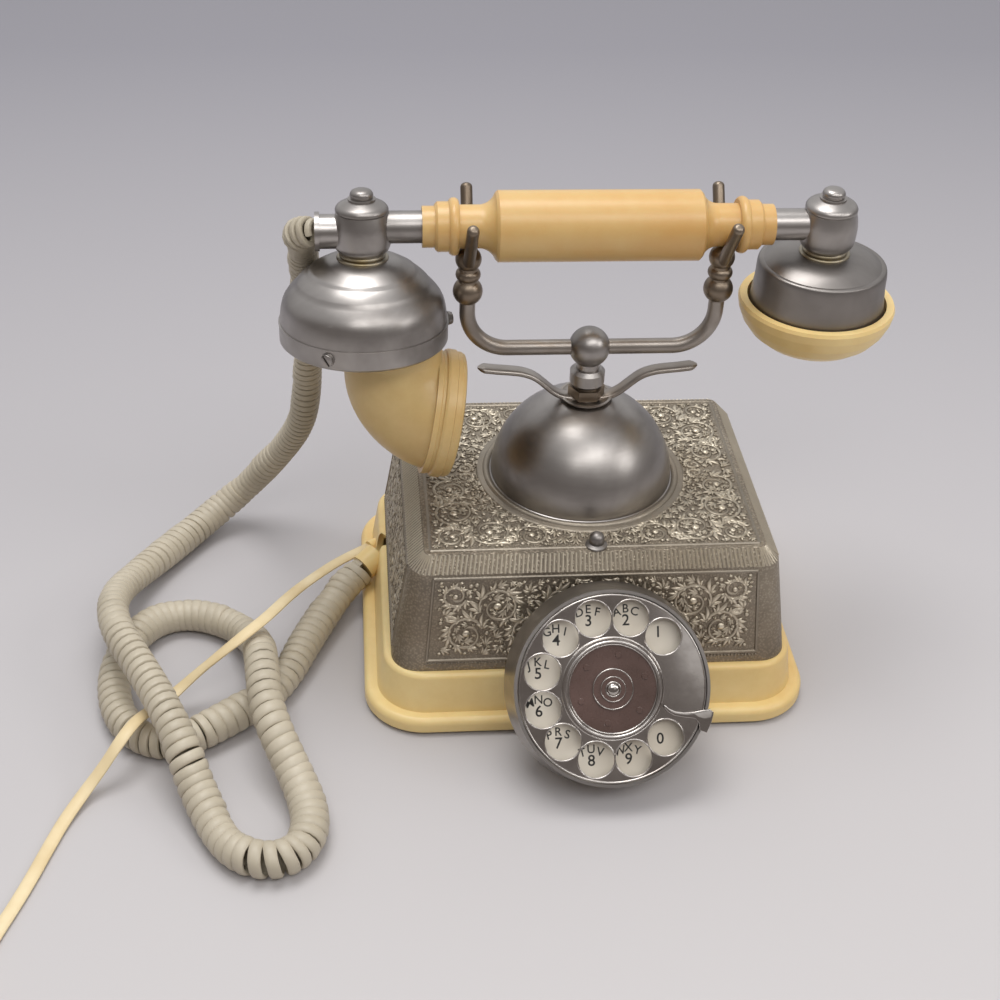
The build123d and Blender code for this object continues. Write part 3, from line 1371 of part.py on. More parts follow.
with BuildPart() as ear_cap:
    ear_wall = ear_radius - ear_mouth
    bowl = [(0.92, 0.48), (0.82, 0.70), (0.68, 0.88), (0.53, 0.975), (0.43, 1.0), (0.33, 0.98), (0.2, 0.91)]
    ear_floor = ear_top - ear_depth
    with BuildSketch(right_plane):
        closed_outline(
            (ear_mouth, ear_top), (ear_radius - ear_wall / 6, ear_top),
            *between((0, ear_top), (ear_radius, ear_floor), [(1, 0.07), (0.98, 0.25), *bowl]),
            (0, ear_floor + ear_dish), (0, ear_floor + ear_dish + ear_wall),
            *between((0, ear_top), (ear_mouth, ear_floor + ear_wall), reversed(bowl)),
            (ear_mouth, receiver_shell_foot - seat_gap),
        )
    revolve(axis=right_axis)
    with BuildSketch(Plane(origin=(knuckle_x, 0, handset_z + ear_floor))):
        Circle(ear_hole_radius)
        with PolarLocations(ear_hole_ring, 6):
            Circle(ear_hole_radius)
    extrude(amount=ear_dish + 2 * ear_wall, mode=Mode.SUBTRACT)
write_piece(ear_cap, "ear_cap")

with BuildPart() as receiver_capsule:
    with BuildSketch(Plane(origin=(knuckle_x, 0, handset_z + receiver_shell_foot))):
        Circle(receiver_capsule_radius)
    extrude(amount=capsule_height)
write_piece(receiver_capsule, "receiver_capsule")

# ==== cords =============================================================================

with BuildPart() as cord_grommets:
    for hole_plane, grommet_radius in ((curly_hole, curly_grommet_radius), (line_hole, line_grommet_radius)):
        with BuildSketch(hole_plane):
            Circle(grommet_radius)
        extrude(amount=grommet_length)
write_piece(cord_grommets, "cord_grommets")

flange_face = Plane(origin=curly_route[0], z_dir=(-1, 0, 0))
curly_start = Vector(*curly_route[0]) * 1.6 - Vector(*curly_route[1]) * 0.6
curly_radii = corner_radii([(*curly_start,), *curly_route[1:]])
print("curly cord radii", [round(radius, 1) for radius in curly_radii])
with BuildPart() as curly_cord:
    with BuildLine() as curly_path:
        FilletPolyline(curly_start, *curly_route[1:], radius=curly_radii)
    with BuildSketch(Plane(origin=curly_path.line @ 0, z_dir=curly_path.line % 0)):
        Circle(curly_radius)
    sweep()
    with BuildSketch(flange_face):
        Circle(2 * curly_radius)
    extrude(amount=-2 * curly_radius, mode=Mode.SUBTRACT)
write_piece(curly_cord, "curly_cord")
report_tube("curly cord", curly_path, curly_cord, curly_radius)

line_radii = corner_radii(line_route)
print("line cord radii", [round(radius, 1) for radius in line_radii])
with BuildPart() as line_cord:
    with BuildLine() as line_path:
        FilletPolyline(*line_route, radius=line_radii)
    with BuildSketch(Plane(origin=line_path.line @ 0, z_dir=line_path.line % 0)):
        Circle(line_radius)
    sweep()
write_piece(line_cord, "line_cord")
report_tube("line cord", line_path, line_cord, line_radius)

lead_x, lead_y, lead_z = line_route[-1]
with BuildPart() as line_cord_coil:
    with BuildSketch(Plane(origin=(coil_centre_x, coil_centre_y, 0))):
        Circle(coil_outer)
        Circle(coil_inner, mode=Mode.SUBTRACT)
    extrude(amount=coil_height)
    with BuildSketch(Plane(origin=(lead_x, lead_y, lead_z), z_dir=(0, -1, 0))):
        Circle(line_radius)
    extrude(amount=coil_lead)
    with BuildSketch(Plane(origin=(coil_centre_x, coil_centre_y, lead_z), x_dir=(0, 1, 0), z_dir=(1, 0, 0))):
        Circle(line_radius)
    extrude(amount=coil_inner + line_radius)
    with BuildSketch(Plane(origin=(coil_centre_x, coil_centre_y, 0))):
        Rectangle(plug_length, plug_width)
    extrude(amount=coil_height, mode=Mode.SUBTRACT)
write_piece(line_cord_coil, "line_cord_coil")

with BuildPart() as plug_body:
    with BuildSketch(Plane(origin=(coil_centre_x, coil_centre_y, 0))):
        RectangleRounded(plug_length, plug_width, 0.6)
    extrude(amount=plug_height)
write_piece(plug_body, "plug_body")
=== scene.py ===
# %% [markdown]
# # A rotary telephone in an antique style
#
# The telephone is a cream plinth, a cast metal housing with a dome on it, a sprung cradle and
# a handset with a horn mouthpiece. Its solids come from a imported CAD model, and this file
# dresses them: it gives every piece its finish and adds what is too fine for the solids, such
# as the cast scrolls, the beads, the figures on the dial and the windings of the cords.
#
# Everything is in metres, +Z up, with the origin on the table under the middle of the dome.

import random
from math import atan2, cos, hypot, pi, radians, sin, sqrt

import bmesh
import bpy
from mathutils import Matrix, Vector


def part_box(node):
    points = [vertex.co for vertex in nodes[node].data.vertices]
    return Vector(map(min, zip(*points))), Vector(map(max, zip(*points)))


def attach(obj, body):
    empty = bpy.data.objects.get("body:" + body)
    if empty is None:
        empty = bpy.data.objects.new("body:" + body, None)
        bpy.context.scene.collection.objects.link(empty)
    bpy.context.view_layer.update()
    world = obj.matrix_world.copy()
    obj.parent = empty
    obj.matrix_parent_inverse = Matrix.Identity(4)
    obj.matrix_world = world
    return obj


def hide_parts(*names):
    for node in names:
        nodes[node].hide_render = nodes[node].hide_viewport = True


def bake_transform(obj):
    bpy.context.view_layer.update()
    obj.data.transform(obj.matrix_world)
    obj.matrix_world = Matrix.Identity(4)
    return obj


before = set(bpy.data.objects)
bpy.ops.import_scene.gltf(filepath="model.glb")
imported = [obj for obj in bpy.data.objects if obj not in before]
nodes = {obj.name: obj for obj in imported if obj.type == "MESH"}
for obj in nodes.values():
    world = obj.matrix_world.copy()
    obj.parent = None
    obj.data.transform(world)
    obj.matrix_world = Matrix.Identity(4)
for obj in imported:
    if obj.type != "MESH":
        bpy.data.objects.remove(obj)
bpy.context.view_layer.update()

# %% [markdown]
# Workshop drawings are in millimetres, so a short helper turns them into Blender's metres.

# %% Millimetres
MM = 0.001


def at(x, y, z):
    """A place given in millimetres."""
    return Vector((x, y, z)) * MM


plinth_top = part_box("base_plinth")[1].z / MM
panel_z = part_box("dome_cover")[0].z / MM
handset_z = (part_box("handset_tube")[0].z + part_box("handset_tube")[1].z) / 2 / MM
print("plinth top", round(plinth_top, 2), "panel", round(panel_z, 2), "handset", round(handset_z, 2))

# %% [markdown]
# ## The camera
# It stands in front of the telephone, a little to the left, and looks down on it. A camera
# looks along its own -Z, so it is tipped up from the floor, turned and rolled in that order.

# %% Camera
camera = bpy.data.objects.new("camera", bpy.data.cameras.new("camera"))
bpy.context.scene.collection.objects.link(camera)
bpy.context.scene.camera = camera
camera.data.lens = 57.58
camera.data.sensor_width = 36
camera.data.clip_start = 0.01
camera.matrix_world = (
    Matrix.Translation(at(-97.3, -573.9, 478.9))
    @ Matrix.Rotation(radians(-6.21), 4, "Z")
    @ Matrix.Rotation(radians(90 - 35.59), 4, "X")
    @ Matrix.Rotation(radians(2.36), 4, "Z")
)
print("camera at", tuple(round(v, 3) for v in camera.location))

# %% [markdown]
# ## The cords
# A cord's line is one smooth NURBS curve that a few points pull into shape. The same points
# guide the tubes in the solids. The order is set after the points are there: set before, it
# would fall back to straight runs.

# %% A smooth line through a route


def mesh_of(curve):
    """The mesh that a curve or a text draws."""
    drawn = bpy.data.objects.new("drawn", curve)
    mesh = bpy.data.meshes.new_from_object(drawn)
    bpy.data.objects.remove(drawn)
    return mesh


def smooth_line(route, steps=12):
    """The places along the NURBS curve that a route pulls into shape, in millimetres."""
    curve = bpy.data.curves.new("guide", "CURVE")
    curve.dimensions = "3D"
    curve.resolution_u = steps
    run = curve.splines.new("NURBS")
    run.points.add(len(route) - 1)
    for point, place in zip(run.points, route):
        point.co = (*at(*place), 1)
    run.order_u = 3
    run.use_endpoint_u = True
    mesh = mesh_of(curve)
    places = [vertex.co / MM for vertex in mesh.vertices]
    bpy.data.meshes.remove(mesh)
    return places


def with_heading(places):
    """Each place of a line, and the way that the line goes there."""
    for before, place, after in zip(places[:1] + places, places, places[1:] + places[-1:]):
        yield place, (after - before).normalized()


def run_length(places):
    """How long a line through the places is."""
    return sum((after - before).length for before, after in zip(places, places[1:]))


bend = smooth_line([(0, 0, 0), (10, 0, 0), (10, 10, 0)])
print("a corner of 10 and 10 mm becomes a bend", round(run_length(bend), 1), "mm long")

# %% [markdown]
# The curly cord leaves the left end of the handset, hangs behind it, lies on the table in
# three big loose loops and goes into the left side of the plinth. Its wire is wound round
# that route. Walking along the route in small steps, each step turns the wire a little
# further round, and two directions that are carried along keep the winding free of twist.

# %% Curly cord
curly_route = [
    (-112.15, 0, 197.28), (-118.5, 4, 195.5), (-118.5, 13.5, 186), (-118, 25, 171),
    (-118, 36, 154), (-118.5, 44, 130), (-119, 50, 105), (-120.5, 54, 84),
    (-124.5, 59.5, 68), (-131.5, 66, 53), (-140.5, 71.5, 38.5), (-150, 75.5, 25.5),
    (-160, 75.5, 15.5), (-170.5, 69, 9.5), (-181, 56, 8), (-190.5, 42, 8),
    (-200.5, 24, 11), (-206.5, 2, 19), (-206, -21, 27), (-200, -41.5, 28.5),
    (-190, -60, 28.5), (-180.5, -79, 28), (-173, -95.5, 26), (-168.5, -107, 20.5),
    (-164.5, -115.5, 12.5), (-159, -127, 8.2), (-153.5, -138, 7.6), (-147, -146.5, 7.6),
    (-138.5, -151.5, 7.6), (-129, -151.5, 7.6), (-122, -146, 7.6), (-118.5, -136.5, 7.6),
    (-119.5, -125, 8), (-124, -113.5, 11.5), (-129, -104.5, 17.5), (-134, -94.5, 23.5),
    (-137.5, -82, 26.5), (-139, -67, 27.5), (-140.5, -52, 26), (-143, -36.5, 18),
    (-147.5, -23.5, 11.5), (-154, -13, 8.2), (-163, -6.5, 7.6), (-173, -3, 7.6),
    (-183, -3.5, 7.6), (-191.5, -8, 7.6), (-198, -17, 7.6), (-202.5, -28.5, 7.6),
    (-204.5, -41, 7.6), (-203.5, -54, 7.6), (-200.5, -66, 7.6), (-195, -76, 7.6),
    (-187, -83, 7.6), (-177.5, -85.5, 7.6), (-168, -82.5, 7.6), (-158, -76, 7.6),
    (-147.5, -68, 7.6), (-137.5, -58.5, 7.6), (-129.5, -44, 7.6), (-122.5, -25, 7.6),
    (-114.5, -7, 8.3), (-109, 3, 10.5), (-103, 11, 13.5), (-96, 16.5, 16.8),
]
curly_places = smooth_line(curly_route)

# distance along the cord, rise of one turn, and radius of the winding's middle
windings = [
    (0, 3.2, 4.8), (9, 3.2, 5.6), (60, 3.2, 5.5), (180, 3.4, 5.6), (235, 4.2, 6.2), (330, 5.2, 6.3),
    (640, 5.6, 6.3), (760, 5.2, 6.3), (930, 5.3, 6.3),
]
curly_width, curly_thickness = 5.0, 2.4
lowest = 1.3
filled = 0.9  # the share of a turn's rise that the band fills

# The turns wander: now and then the winding gets a new spacing and a new radius to ease to.
change_chance = 0.03
spacings = (0.88, 1.1)
swellings = (-0.6, 0.5)
swelling_pace, sway_pace, sway_reach = 0.05, 0.04, 1.6


def between(table, distance):
    """The pitch and radius at a distance along the cord."""
    for (start, *low), (end, *high) in zip(table, table[1:]):
        if distance <= end:
            share = (distance - start) / (end - start)
            return [a + (b - a) * share for a, b in zip(low, high)]
    return table[-1][1:]


def wind(places, table, steps_per_turn=14, taper=1.5, end_reach=0.85):
    """Steps of a band wound round a line: its place, the way out of the line, and its width."""
    total = run_length(places)
    side = Vector((0, 0, 1)).cross(places[1] - places[0]).normalized()
    steps, turn, walked, rng = [], 0.0, 0.0, random.Random(5)
    swelling, target, spacing, sway = 0.0, 0.0, 1.0, 0.0
    for before, after in zip(places, places[1:]):
        run = after - before
        ahead = run.normalized()
        side = (side - ahead * side.dot(ahead)).normalized()
        other = ahead.cross(side)
        gone = 0.0
        while gone < run.length:
            distance = walked + gone
            pitch, radius = between(table, distance)
            swelling += (target - swelling) * swelling_pace
            sway += (sway_reach * target - sway) * sway_pace
            if rng.random() < change_chance:
                target = rng.uniform(*swellings)
                spacing = rng.uniform(*spacings)
            to_end = min(distance, total - distance) / taper
            reach = (radius + swelling) * min(1, max(end_reach, to_end))
            outward = side * cos(turn) + other * sin(turn)
            place = before + ahead * gone + outward * reach + side * sway
            place.z = max(place.z, lowest)
            steps.append((place, outward, ahead * filled * pitch * spacing / curly_width))
            gone += pitch * spacing / steps_per_turn
            turn += 2 * pi / steps_per_turn
        walked += run.length
    return steps


curly_steps = wind(curly_places, windings)
print("curly cord", round(run_length(curly_places)), "mm long,", len(curly_steps), "steps of wire")

# %% [markdown]
# The wire itself is a flat band with round edges. It can't come from a curve's own bevel or
# from an extrusion, which let the band roll: its flat side has to face out of the winding all
# the way. So one ring of points is laid at each step, and a skin of faces joins the rings.

# %% Sweep a flat band
squareness = 2.8  # 2 would make the band's section an ellipse


def flat_section(width, thickness, corners):
    """Places round a flat oval: (across the band, out from it)."""
    for corner in range(corners):
        angle = 2 * pi * (corner + 0.5) / corners
        across, out = cos(angle), sin(angle)
        squeeze = (abs(across) ** squareness + abs(out) ** squareness) ** (-1 / squareness)
        yield across * squeeze * width / 2, out * squeeze * thickness / 2


def add_band(shape, steps, width, thickness, corners=12, unit=MM):
    """Adds a closed band swept along steps of (place, outward, lengthwise) in millimetres."""
    section = list(flat_section(width, thickness, corners))
    rows, faces = [], []
    for place, outward, lengthwise in steps:
        rows.append([shape.verts.new((place + lengthwise * a + outward * o) * unit) for a, o in section])
    for low, high in zip(rows, rows[1:]):
        for index in range(corners):
            following = (index + 1) % corners
            faces.append(shape.faces.new((low[index], low[following], high[following], high[index])))
    faces += [shape.faces.new(list(reversed(rows[0]))), shape.faces.new(rows[-1])]
    bmesh.ops.recalc_face_normals(shape, faces=faces)


def finished(shape, name, crease=40):
    """A new object from a bmesh, smooth but for edges that turn more than the crease."""
    for face in shape.faces:
        face.smooth = True
    for edge in shape.edges:
        if len(edge.link_faces) == 2 and edge.calc_face_angle(0) > radians(crease):
            edge.smooth = False
    mesh = bpy.data.meshes.new(name)
    shape.to_mesh(mesh)
    shape.free()
    piece = bpy.data.objects.new(name, mesh)
    bpy.context.scene.collection.objects.link(piece)
    return piece


curly_band = bmesh.new()
add_band(curly_band, curly_steps, curly_width, curly_thickness)
curly_cord = finished(curly_band, "curly_cord_winding")
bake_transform(curly_cord)
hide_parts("curly_cord")
wire_places = [place for place, *_ in curly_steps]
wire_length = run_length(wire_places)
[place * MM for place in wire_places]
print("wire", round(wire_length / 1000, 2), "m,", len(curly_cord.data.polygons), "faces")

# %% [markdown]
# The line cord is a flat cream lead. It leaves the plinth behind the curly cord, passes over
# and between its loops and runs off to the front left. The rest of it is put away in a neat
# coil on the table, two turns side by side and three high, that ends at a small clear plug.
# It is swept like the wire, but its flat side faces up all the way.

# %% Line cord
line_route = [
    (-93, 36, 14), (-105, 27, 14.5), (-117, 10.5, 18), (-128, -14, 27),
    (-137.5, -38, 34), (-147, -50.5, 34.5), (-157.5, -54.5, 27.5), (-167.5, -55, 18),
    (-176, -58.5, 11.5), (-182.5, -67, 11), (-187, -78, 17.5), (-191, -88.5, 21),
    (-196, -96.5, 18.5), (-202, -101.5, 11), (-209.5, -108.5, 4), (-216, -121, 1.6),
    (-220.5, -135.5, 1.3), (-224.5, -150, 1.3), (-229, -164, 1.3), (-233.5, -176.5, 1.3),
    (-236.7, -187, 1.3), (-236.7, -196, 1.3),
]
coil_x, coil_y = -272.5, -214.0
line_width, line_thickness = 5.5, 2.2


def coil_turns(columns, layers, bottom, layer_rise, per_turn=14, level=0.75):
    """Places of a flat coil: up the first column of turns, then down the next.

    level is the share of a turn that stays in its layer before the cord steps to the next.
    """
    places = []
    for column, radius in enumerate(columns):
        upward = column % 2 == 0
        for layer in range(layers) if upward else range(layers - 1, -1, -1):
            last = layer == (layers - 1 if upward else 0)
            for step in range(per_turn):
                share = step / per_turn
                late = max(0, (share - level) / (1 - level))
                climb = 0 if last else late if upward else -late
                across = radius
                if last and column + 1 < len(columns):
                    across += (columns[column + 1] - radius) * late
                angle = -2 * pi * share
                height = bottom + layer_rise * (layer + climb)
                places.append((coil_x + across * cos(angle), coil_y + across * sin(angle), height))
    return places


coil_route = coil_turns((34.4, 28.6), 3, 1.3, 2.4)
plug_route = [
    (coil_x + 27.5, coil_y - 1, 1.3), (coil_x + 25, coil_y - 8, 1.5),
    (coil_x + 17, coil_y - 9, 2), (coil_x + 11, coil_y - 2, 3), (coil_x + 5, coil_y, 3.4),
]
line_places = smooth_line(line_route + coil_route + plug_route, 6)
lead_length = run_length(line_places)
line_steps = []
for place, ahead in with_heading(line_places):
    side = ahead.cross(Vector((0, 0, 1))).normalized()
    line_steps.append((place, side.cross(ahead), side))
line_band = bmesh.new()
add_band(line_band, line_steps, line_width, line_thickness)
line_cord = finished(line_band, "line_cord_lead")
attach(line_cord, "base")
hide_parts("line_cord", "line_cord_coil")
print("line cord", round(lead_length / 1000, 2), "m")

# %% [markdown]
# ## Light and floor
# A pale seamless sheet, a large soft lamp overhead and weaker ones in front and on the right.
# The lamps and the sky together give about the light at which a colour shows as it is written.
# The white card in front is too dim to light much, but the dial's wheel mirrors its edge.

# %% Floor and lamps
floor_shape = bmesh.new()
bmesh.ops.create_circle(floor_shape, cap_ends=True, segments=64, radius=4.0)
floor = finished(floor_shape, "floor")

world = bpy.data.worlds.new("studio")
bpy.context.scene.world = world
world.use_nodes = True
bpy.context.scene.view_settings.view_transform = "Standard"


def soft_lamp(name, place, aim, size, power):
    """An oblong lamp that looks from a place to an aim, both in metres."""
    lamp = bpy.data.lights.new(name, "AREA")
    lamp.shape = "RECTANGLE"
    lamp.size, lamp.size_y = size
    lamp.energy = power
    holder = bpy.data.objects.new(name, lamp)
    bpy.context.scene.collection.objects.link(holder)
    holder.location = place
    holder.rotation_euler = (Vector(aim) - Vector(place)).to_track_quat("-Z", "Y").to_euler()


soft_lamp("window_lamp", (-0.2, 0.2, 1.5), (0, 0, 0.1), (0.9, 0.7), 11.5)
soft_lamp("front_lamp", (0.2, -0.95, 1.4), (0, 0, 0.05), (1.5, 0.45), 8)
soft_lamp("side_lamp", (1.25, -0.65, 0.95), (0, 0, 0.08), (0.6, 0.5), 4)
soft_lamp("white_card", (0.48, -1.06, 0.79), (0.02, -0.1, 0.05), (0.5, 0.4), 0.25)

# %% [markdown]
# ## Shader maths
# A material is a tree of nodes. A few small classes let it be written as a formula. `Signal`
# stands for a number that changes over the surface: adding or multiplying signals adds the
# Math nodes. `Nodes` is a tree, and its `node` method adds any other kind of node. `Finish`
# is the tree of a material.

# %% Signals and finishes


class Signal:
    """A socket that takes part in sums."""

    def __init__(self, finish, socket):
        self.finish = finish
        self.socket = socket

    def maths(self, operation, *terms):
        return self.finish.node("ShaderNodeMath", {"operation": operation}, dict(enumerate(terms)))

    def __add__(self, other):
        return self.maths("ADD", self, other)

    def __radd__(self, other):
        return self.maths("ADD", other, self)

    def __sub__(self, other):
        return self.maths("SUBTRACT", self, other)

    def __rsub__(self, other):
        return self.maths("SUBTRACT", other, self)

    def __mul__(self, other):
        return self.maths("MULTIPLY", self, other)

    __rmul__ = __mul__

    def __truediv__(self, other):
        return self.maths("DIVIDE", self, other)

    def __pow__(self, other):
        return self.maths("POWER", self, other)

    def clipped(self, low=0.0, high=1.0):
        return self.finish.node("ShaderNodeClamp", {}, {0: self, 1: low, 2: high})

    def spread(self, low, high):
        """0 below low, 1 above high, and even between."""
        return ((self - low) / (high - low)).clipped()


class Nodes:
    """A tree of nodes that is being written."""

    def __init__(self, tree, last, place):
        self.tree = tree
        self.surface = tree.nodes[last]
        self.place = self.node("ShaderNodeTexCoord", out=place)

    def node(self, kind, settings=None, values=None, out=0):
        made = self.tree.nodes.new(kind)
        for setting, value in (settings or {}).items():
            setattr(made, setting, value)
        for socket, value in (values or {}).items():
            if isinstance(value, Signal):
                self.tree.links.new(value.socket, made.inputs[socket])
            else:
                made.inputs[socket].default_value = value
        return Signal(self, made.outputs[out])

    def blend(self, share, first, second):
        return self.node("ShaderNodeMix", {"data_type": "RGBA"}, {0: share, 6: first, 7: second}, out=2)

    def link(self, **sockets):
        for word, signal in sockets.items():
            self.tree.links.new(signal.socket, self.surface.inputs[word.replace("_", " ")])


class Finish(Nodes):
    """A material that is being written. Words that are given are the surface's even values."""

    def __init__(self, name, **even):
        self.material = bpy.data.materials.new(name)
        self.material.use_nodes = True
        super().__init__(self.material.node_tree, "Principled BSDF", "Object")
        for word, value in even.items():
            self.surface.inputs[word.replace("_", " ")].default_value = value

    def noise(self, scale, detail=2.0, rough=0.5, stretch=None, warp=0.0):
        values = {"Scale": scale, "Detail": detail, "Roughness": rough, "Distortion": warp}
        values["Vector"] = self.place
        if stretch:
            drawn_out = {"Vector": self.place, "Scale": stretch}
            values["Vector"] = self.node("ShaderNodeMapping", {}, drawn_out)
        return self.node("ShaderNodeTexNoise", {}, values)

    def shape(self, height, strength=0.3, distance=0.0004):
        values = {"Height": height, "Strength": strength, "Distance": distance}
        return self.node("ShaderNodeBump", {}, values)

    def paint(self, **sockets):
        """Link signals to the surface, and return the material."""
        self.link(**sockets)
        return self.material


def ink(code):
    """A colour written as six hex figures, made linear."""
    parts = [int(code[i:i + 2], 16) / 255 for i in (0, 2, 4)]
    return (*[p / 12.92 if p <= 0.04045 else ((p + 0.055) / 1.055) ** 2.4 for p in parts], 1.0)


print("middle grey, made linear:", round(ink("808080")[0], 3))

# %% [markdown]
# The floor's colour is a grey that darkens with the distance behind the telephone: painted
# shade, for the light that falls off towards the back. The sky is bright overhead and behind,
# and dim in front, where the person with the camera would stand: polished metal is only as
# lively as the light and dark that it has to show.

# %% Finish of the floor and the sky
paper = Finish("seamless_paper", Roughness=0.6)
behind = paper.node("ShaderNodeSeparateXYZ", {}, {0: paper.place}, out=1)
# painted shade: the floor darkens towards the back, where less light would reach it
floor_painted_falloff = paper.blend(behind.spread(-0.35, 0.75), ink("C4C0BF"), ink("96949B"))
floor.data.materials.append(paper.paint(Base_Color=floor_painted_falloff))

sky = Nodes(world.node_tree, "Background", "Generated")
sky_back = sky.node("ShaderNodeSeparateXYZ", {}, {0: sky.place}, out=1)
sky_up = sky.node("ShaderNodeSeparateXYZ", {}, {0: sky.place}, out=2)
glow = (sky_back * 0.6 + sky_up).spread(0.08, 0.75)
sky.link(Color=sky.blend(glow, ink("8E8784"), ink("FBFBFD")))
sky.surface.inputs["Strength"].default_value = 0.72
print("floor and sky are finished")

# %% [markdown]
# ## The finishes
# Old ivory-coloured plastic is never one flat colour. Broad clouds of a darker honey tone, a
# faint mottle and small changes of gloss make it look handled.

# %% Ivory plastics


def ivory(name, light, deep, gloss=0.36):
    """Yellowed plastic, with clouds of a deeper tone."""
    finish = Finish(name, Coat_Weight=0.15, Coat_Roughness=0.2, IOR=1.48, Subsurface_Weight=0.06)
    finish.surface.inputs["Subsurface Scale"].default_value = 0.004
    clouds = finish.noise(14, 3).spread(0.36, 0.68)
    mottle = finish.noise(160, 3, 0.6).spread(0.3, 0.75)
    tone = finish.blend(clouds * 0.75 + mottle * 0.2, ink(light), ink(deep))
    wipe = finish.noise(35, 4, 0.6, stretch=(1, 1, 2.5)).spread(0.3, 0.8)
    fine = finish.noise(900, 2) * 0.5 + finish.noise(120, 2)
    return finish.paint(
        Base_Color=tone, Roughness=gloss + wipe * 0.16, Normal=finish.shape(fine, 0.06),
    )


finishes = {
    "ivory": ivory("yellowed_ivory", "F1D89A", "DBB874"),
    "handle_ivory": ivory("amber_ivory", "D6B77B", "C99652", 0.28),
}
print("ivories:", list(finishes))

# %% [markdown]
# Worn nickel is bright only where it has been rubbed. The brushing runs round each turned
# piece, so the noise is drawn out sideways: many fine changes along Z, few across. Where the
# plating is thin, brass shines through in soft patches.

# %% Worn nickel and antique bronze


def worn_metal(name, light, dark, under, rough=0.3, wear=0.62, brushing=0.5):
    """A plated metal with dull clouds, fine brushing and patches of the metal under it."""
    finish = Finish(name, Metallic=1.0)
    dull = finish.noise(22, 4, 0.55, warp=0.4).spread(0.32, 0.7)
    brushed = finish.noise(60, 3, 0.6, stretch=(1, 1, 26))
    worn = finish.noise(30, 5, 0.62, warp=0.8).spread(wear, wear + 0.16)
    plate = finish.blend(dull, ink(light), ink(dark))
    tone = finish.blend(worn * 0.7, plate, ink(under))
    pits = finish.noise(520, 2).spread(0.68, 0.8)
    gloss = rough + dull * 0.14 + brushed * 0.1 + pits * 0.15
    height = brushed * brushing - pits * 0.5
    return finish.paint(Base_Color=tone, Roughness=gloss, Normal=finish.shape(height, 0.12, 0.0002))


finishes["nickel"] = worn_metal("worn_nickel", "BAB5B1", "827D79", "A79A80", 0.24, 0.8)
finishes["bronze"] = worn_metal("antique_bronze", "96897A", "6C5F51", "A58C66", 0.28, 0.6)
rubbed_bronze = worn_metal("rubbed_bronze", "AFA8A1", "8A8178", "94806A", 0.28, 0.56, 0.1)
finishes["collar"] = worn_metal("brassy_collar", "B9B2A2", "8E8676", "A08E66", 0.3, 0.46)
# A darker, rougher copy of the nickel, for the receiver's bell.
darker_nickel = worn_metal("darker_nickel", "9C9793", "76716D", "8A8070", 0.3, 0.66)
finishes["plate_steel"] = worn_metal("plated_steel", "A9A9A8", "8A8A88", "9A9A94", 0.35, 0.7)
finishes["brass"] = worn_metal("brass", "C9A767", "9A7A42", "8E6B3A", 0.28, 0.6)
finishes["copper"] = worn_metal("enamelled_copper", "B36A43", "8A4A2C", "6E3A20", 0.4, 0.6)
print("metals:", [k for k in finishes if k not in ("ivory", "handle_ivory")])

# %% [markdown]
# The dial's wheel is polished: almost a mirror, with fine scratches and a few smears.

# %% Polished chrome
polish = Finish("polished_chrome", Metallic=1.0)
smear = polish.noise(45, 4, 0.6).spread(0.35, 0.75)
scratches = polish.noise(700, 2, stretch=(1, 7, 1)).spread(0.55, 0.75)
finishes["chrome"] = polish.paint(
    Base_Color=polish.blend(smear, ink("D2CDC8"), ink("A9A29C")),
    Roughness=0.05 + smear * 0.07 + scratches * 0.05,
    Normal=polish.shape(smear + scratches * 0.2, 0.03, 0.0001),
)
print("chrome has", len(finishes["chrome"].node_tree.nodes), "nodes")

# %% [markdown]
# The housing is cast, darkened with acid, and rubbed bright on its high places. Its ground is
# punched all over with tiny dots, which a Voronoi pattern gives. The ornament that is added on
# top carries a number called `rise`: 0 at its foot and 1 at its crown. It blends from the
# dark of the ground to the rubbed metal, just as polishing does.

# %% Cast metal, ground and ornament


def cast_metal(name, dark, light, dots=0.0, rubbed=0.0):
    """Antiqued casting: dots in the ground and how rubbed it is, or ornament, rubbed as it rises."""
    finish = Finish(name, Metallic=0.85)
    punched = finish.node("ShaderNodeTexVoronoi", {}, {"Vector": finish.place, "Scale": 900.0})
    crumbs = finish.noise(1100, 3, 0.6)
    patina = finish.noise(38, 4, 0.6).spread(0.3, 0.72)
    dimple = 1 - punched.spread(0.15, 0.6)
    if dots:
        shine = patina * 0.35 + dimple * 0.3 * dots + rubbed
    else:
        rise = finish.node("ShaderNodeAttribute", {"attribute_name": "rise"}, out="Fac")
        shine = rise ** 1.3 * 0.9 + patina * 0.2 - 0.1
    shine = shine.clipped()
    tone = finish.blend(shine, ink(dark), ink(light))
    warm = finish.noise(16, 3).spread(0.45, 0.7)
    tone = finish.blend(warm * 0.3, tone, ink("8A7558"))
    bump = dimple * dots + crumbs * 0.35
    return finish.paint(
        Base_Color=tone, Roughness=0.52 - shine * 0.22, Normal=finish.shape(bump, 0.5, 0.0003),
    )


finishes["cast_relief"] = cast_metal("cast_ground", "71685D", "C8BCA8", 1.0, 0.05)
plain_cast = cast_metal("cast_plain", "7C7469", "B5AB9B", 0.25, 0.2)
raised_cast = cast_metal("cast_ornament", "675E52", "E2D7C2")
# A lighter copy of the ornament's casting, for the front and back walls: painted light, for the front that
# the lamps light too little.
painted_light_cast = cast_metal("cast_painted_light", "83786A", "FDF2DC")
print("castings:", plain_cast.name, raised_cast.name)

# %% [markdown]
# The rest: felt under the foot, black mouldings, the enamelled number plate, the brown card
# behind its clear cover, vinyl for the two cords and clear plastic for the plug.

# %% Felt, mouldings, enamel, card and vinyl


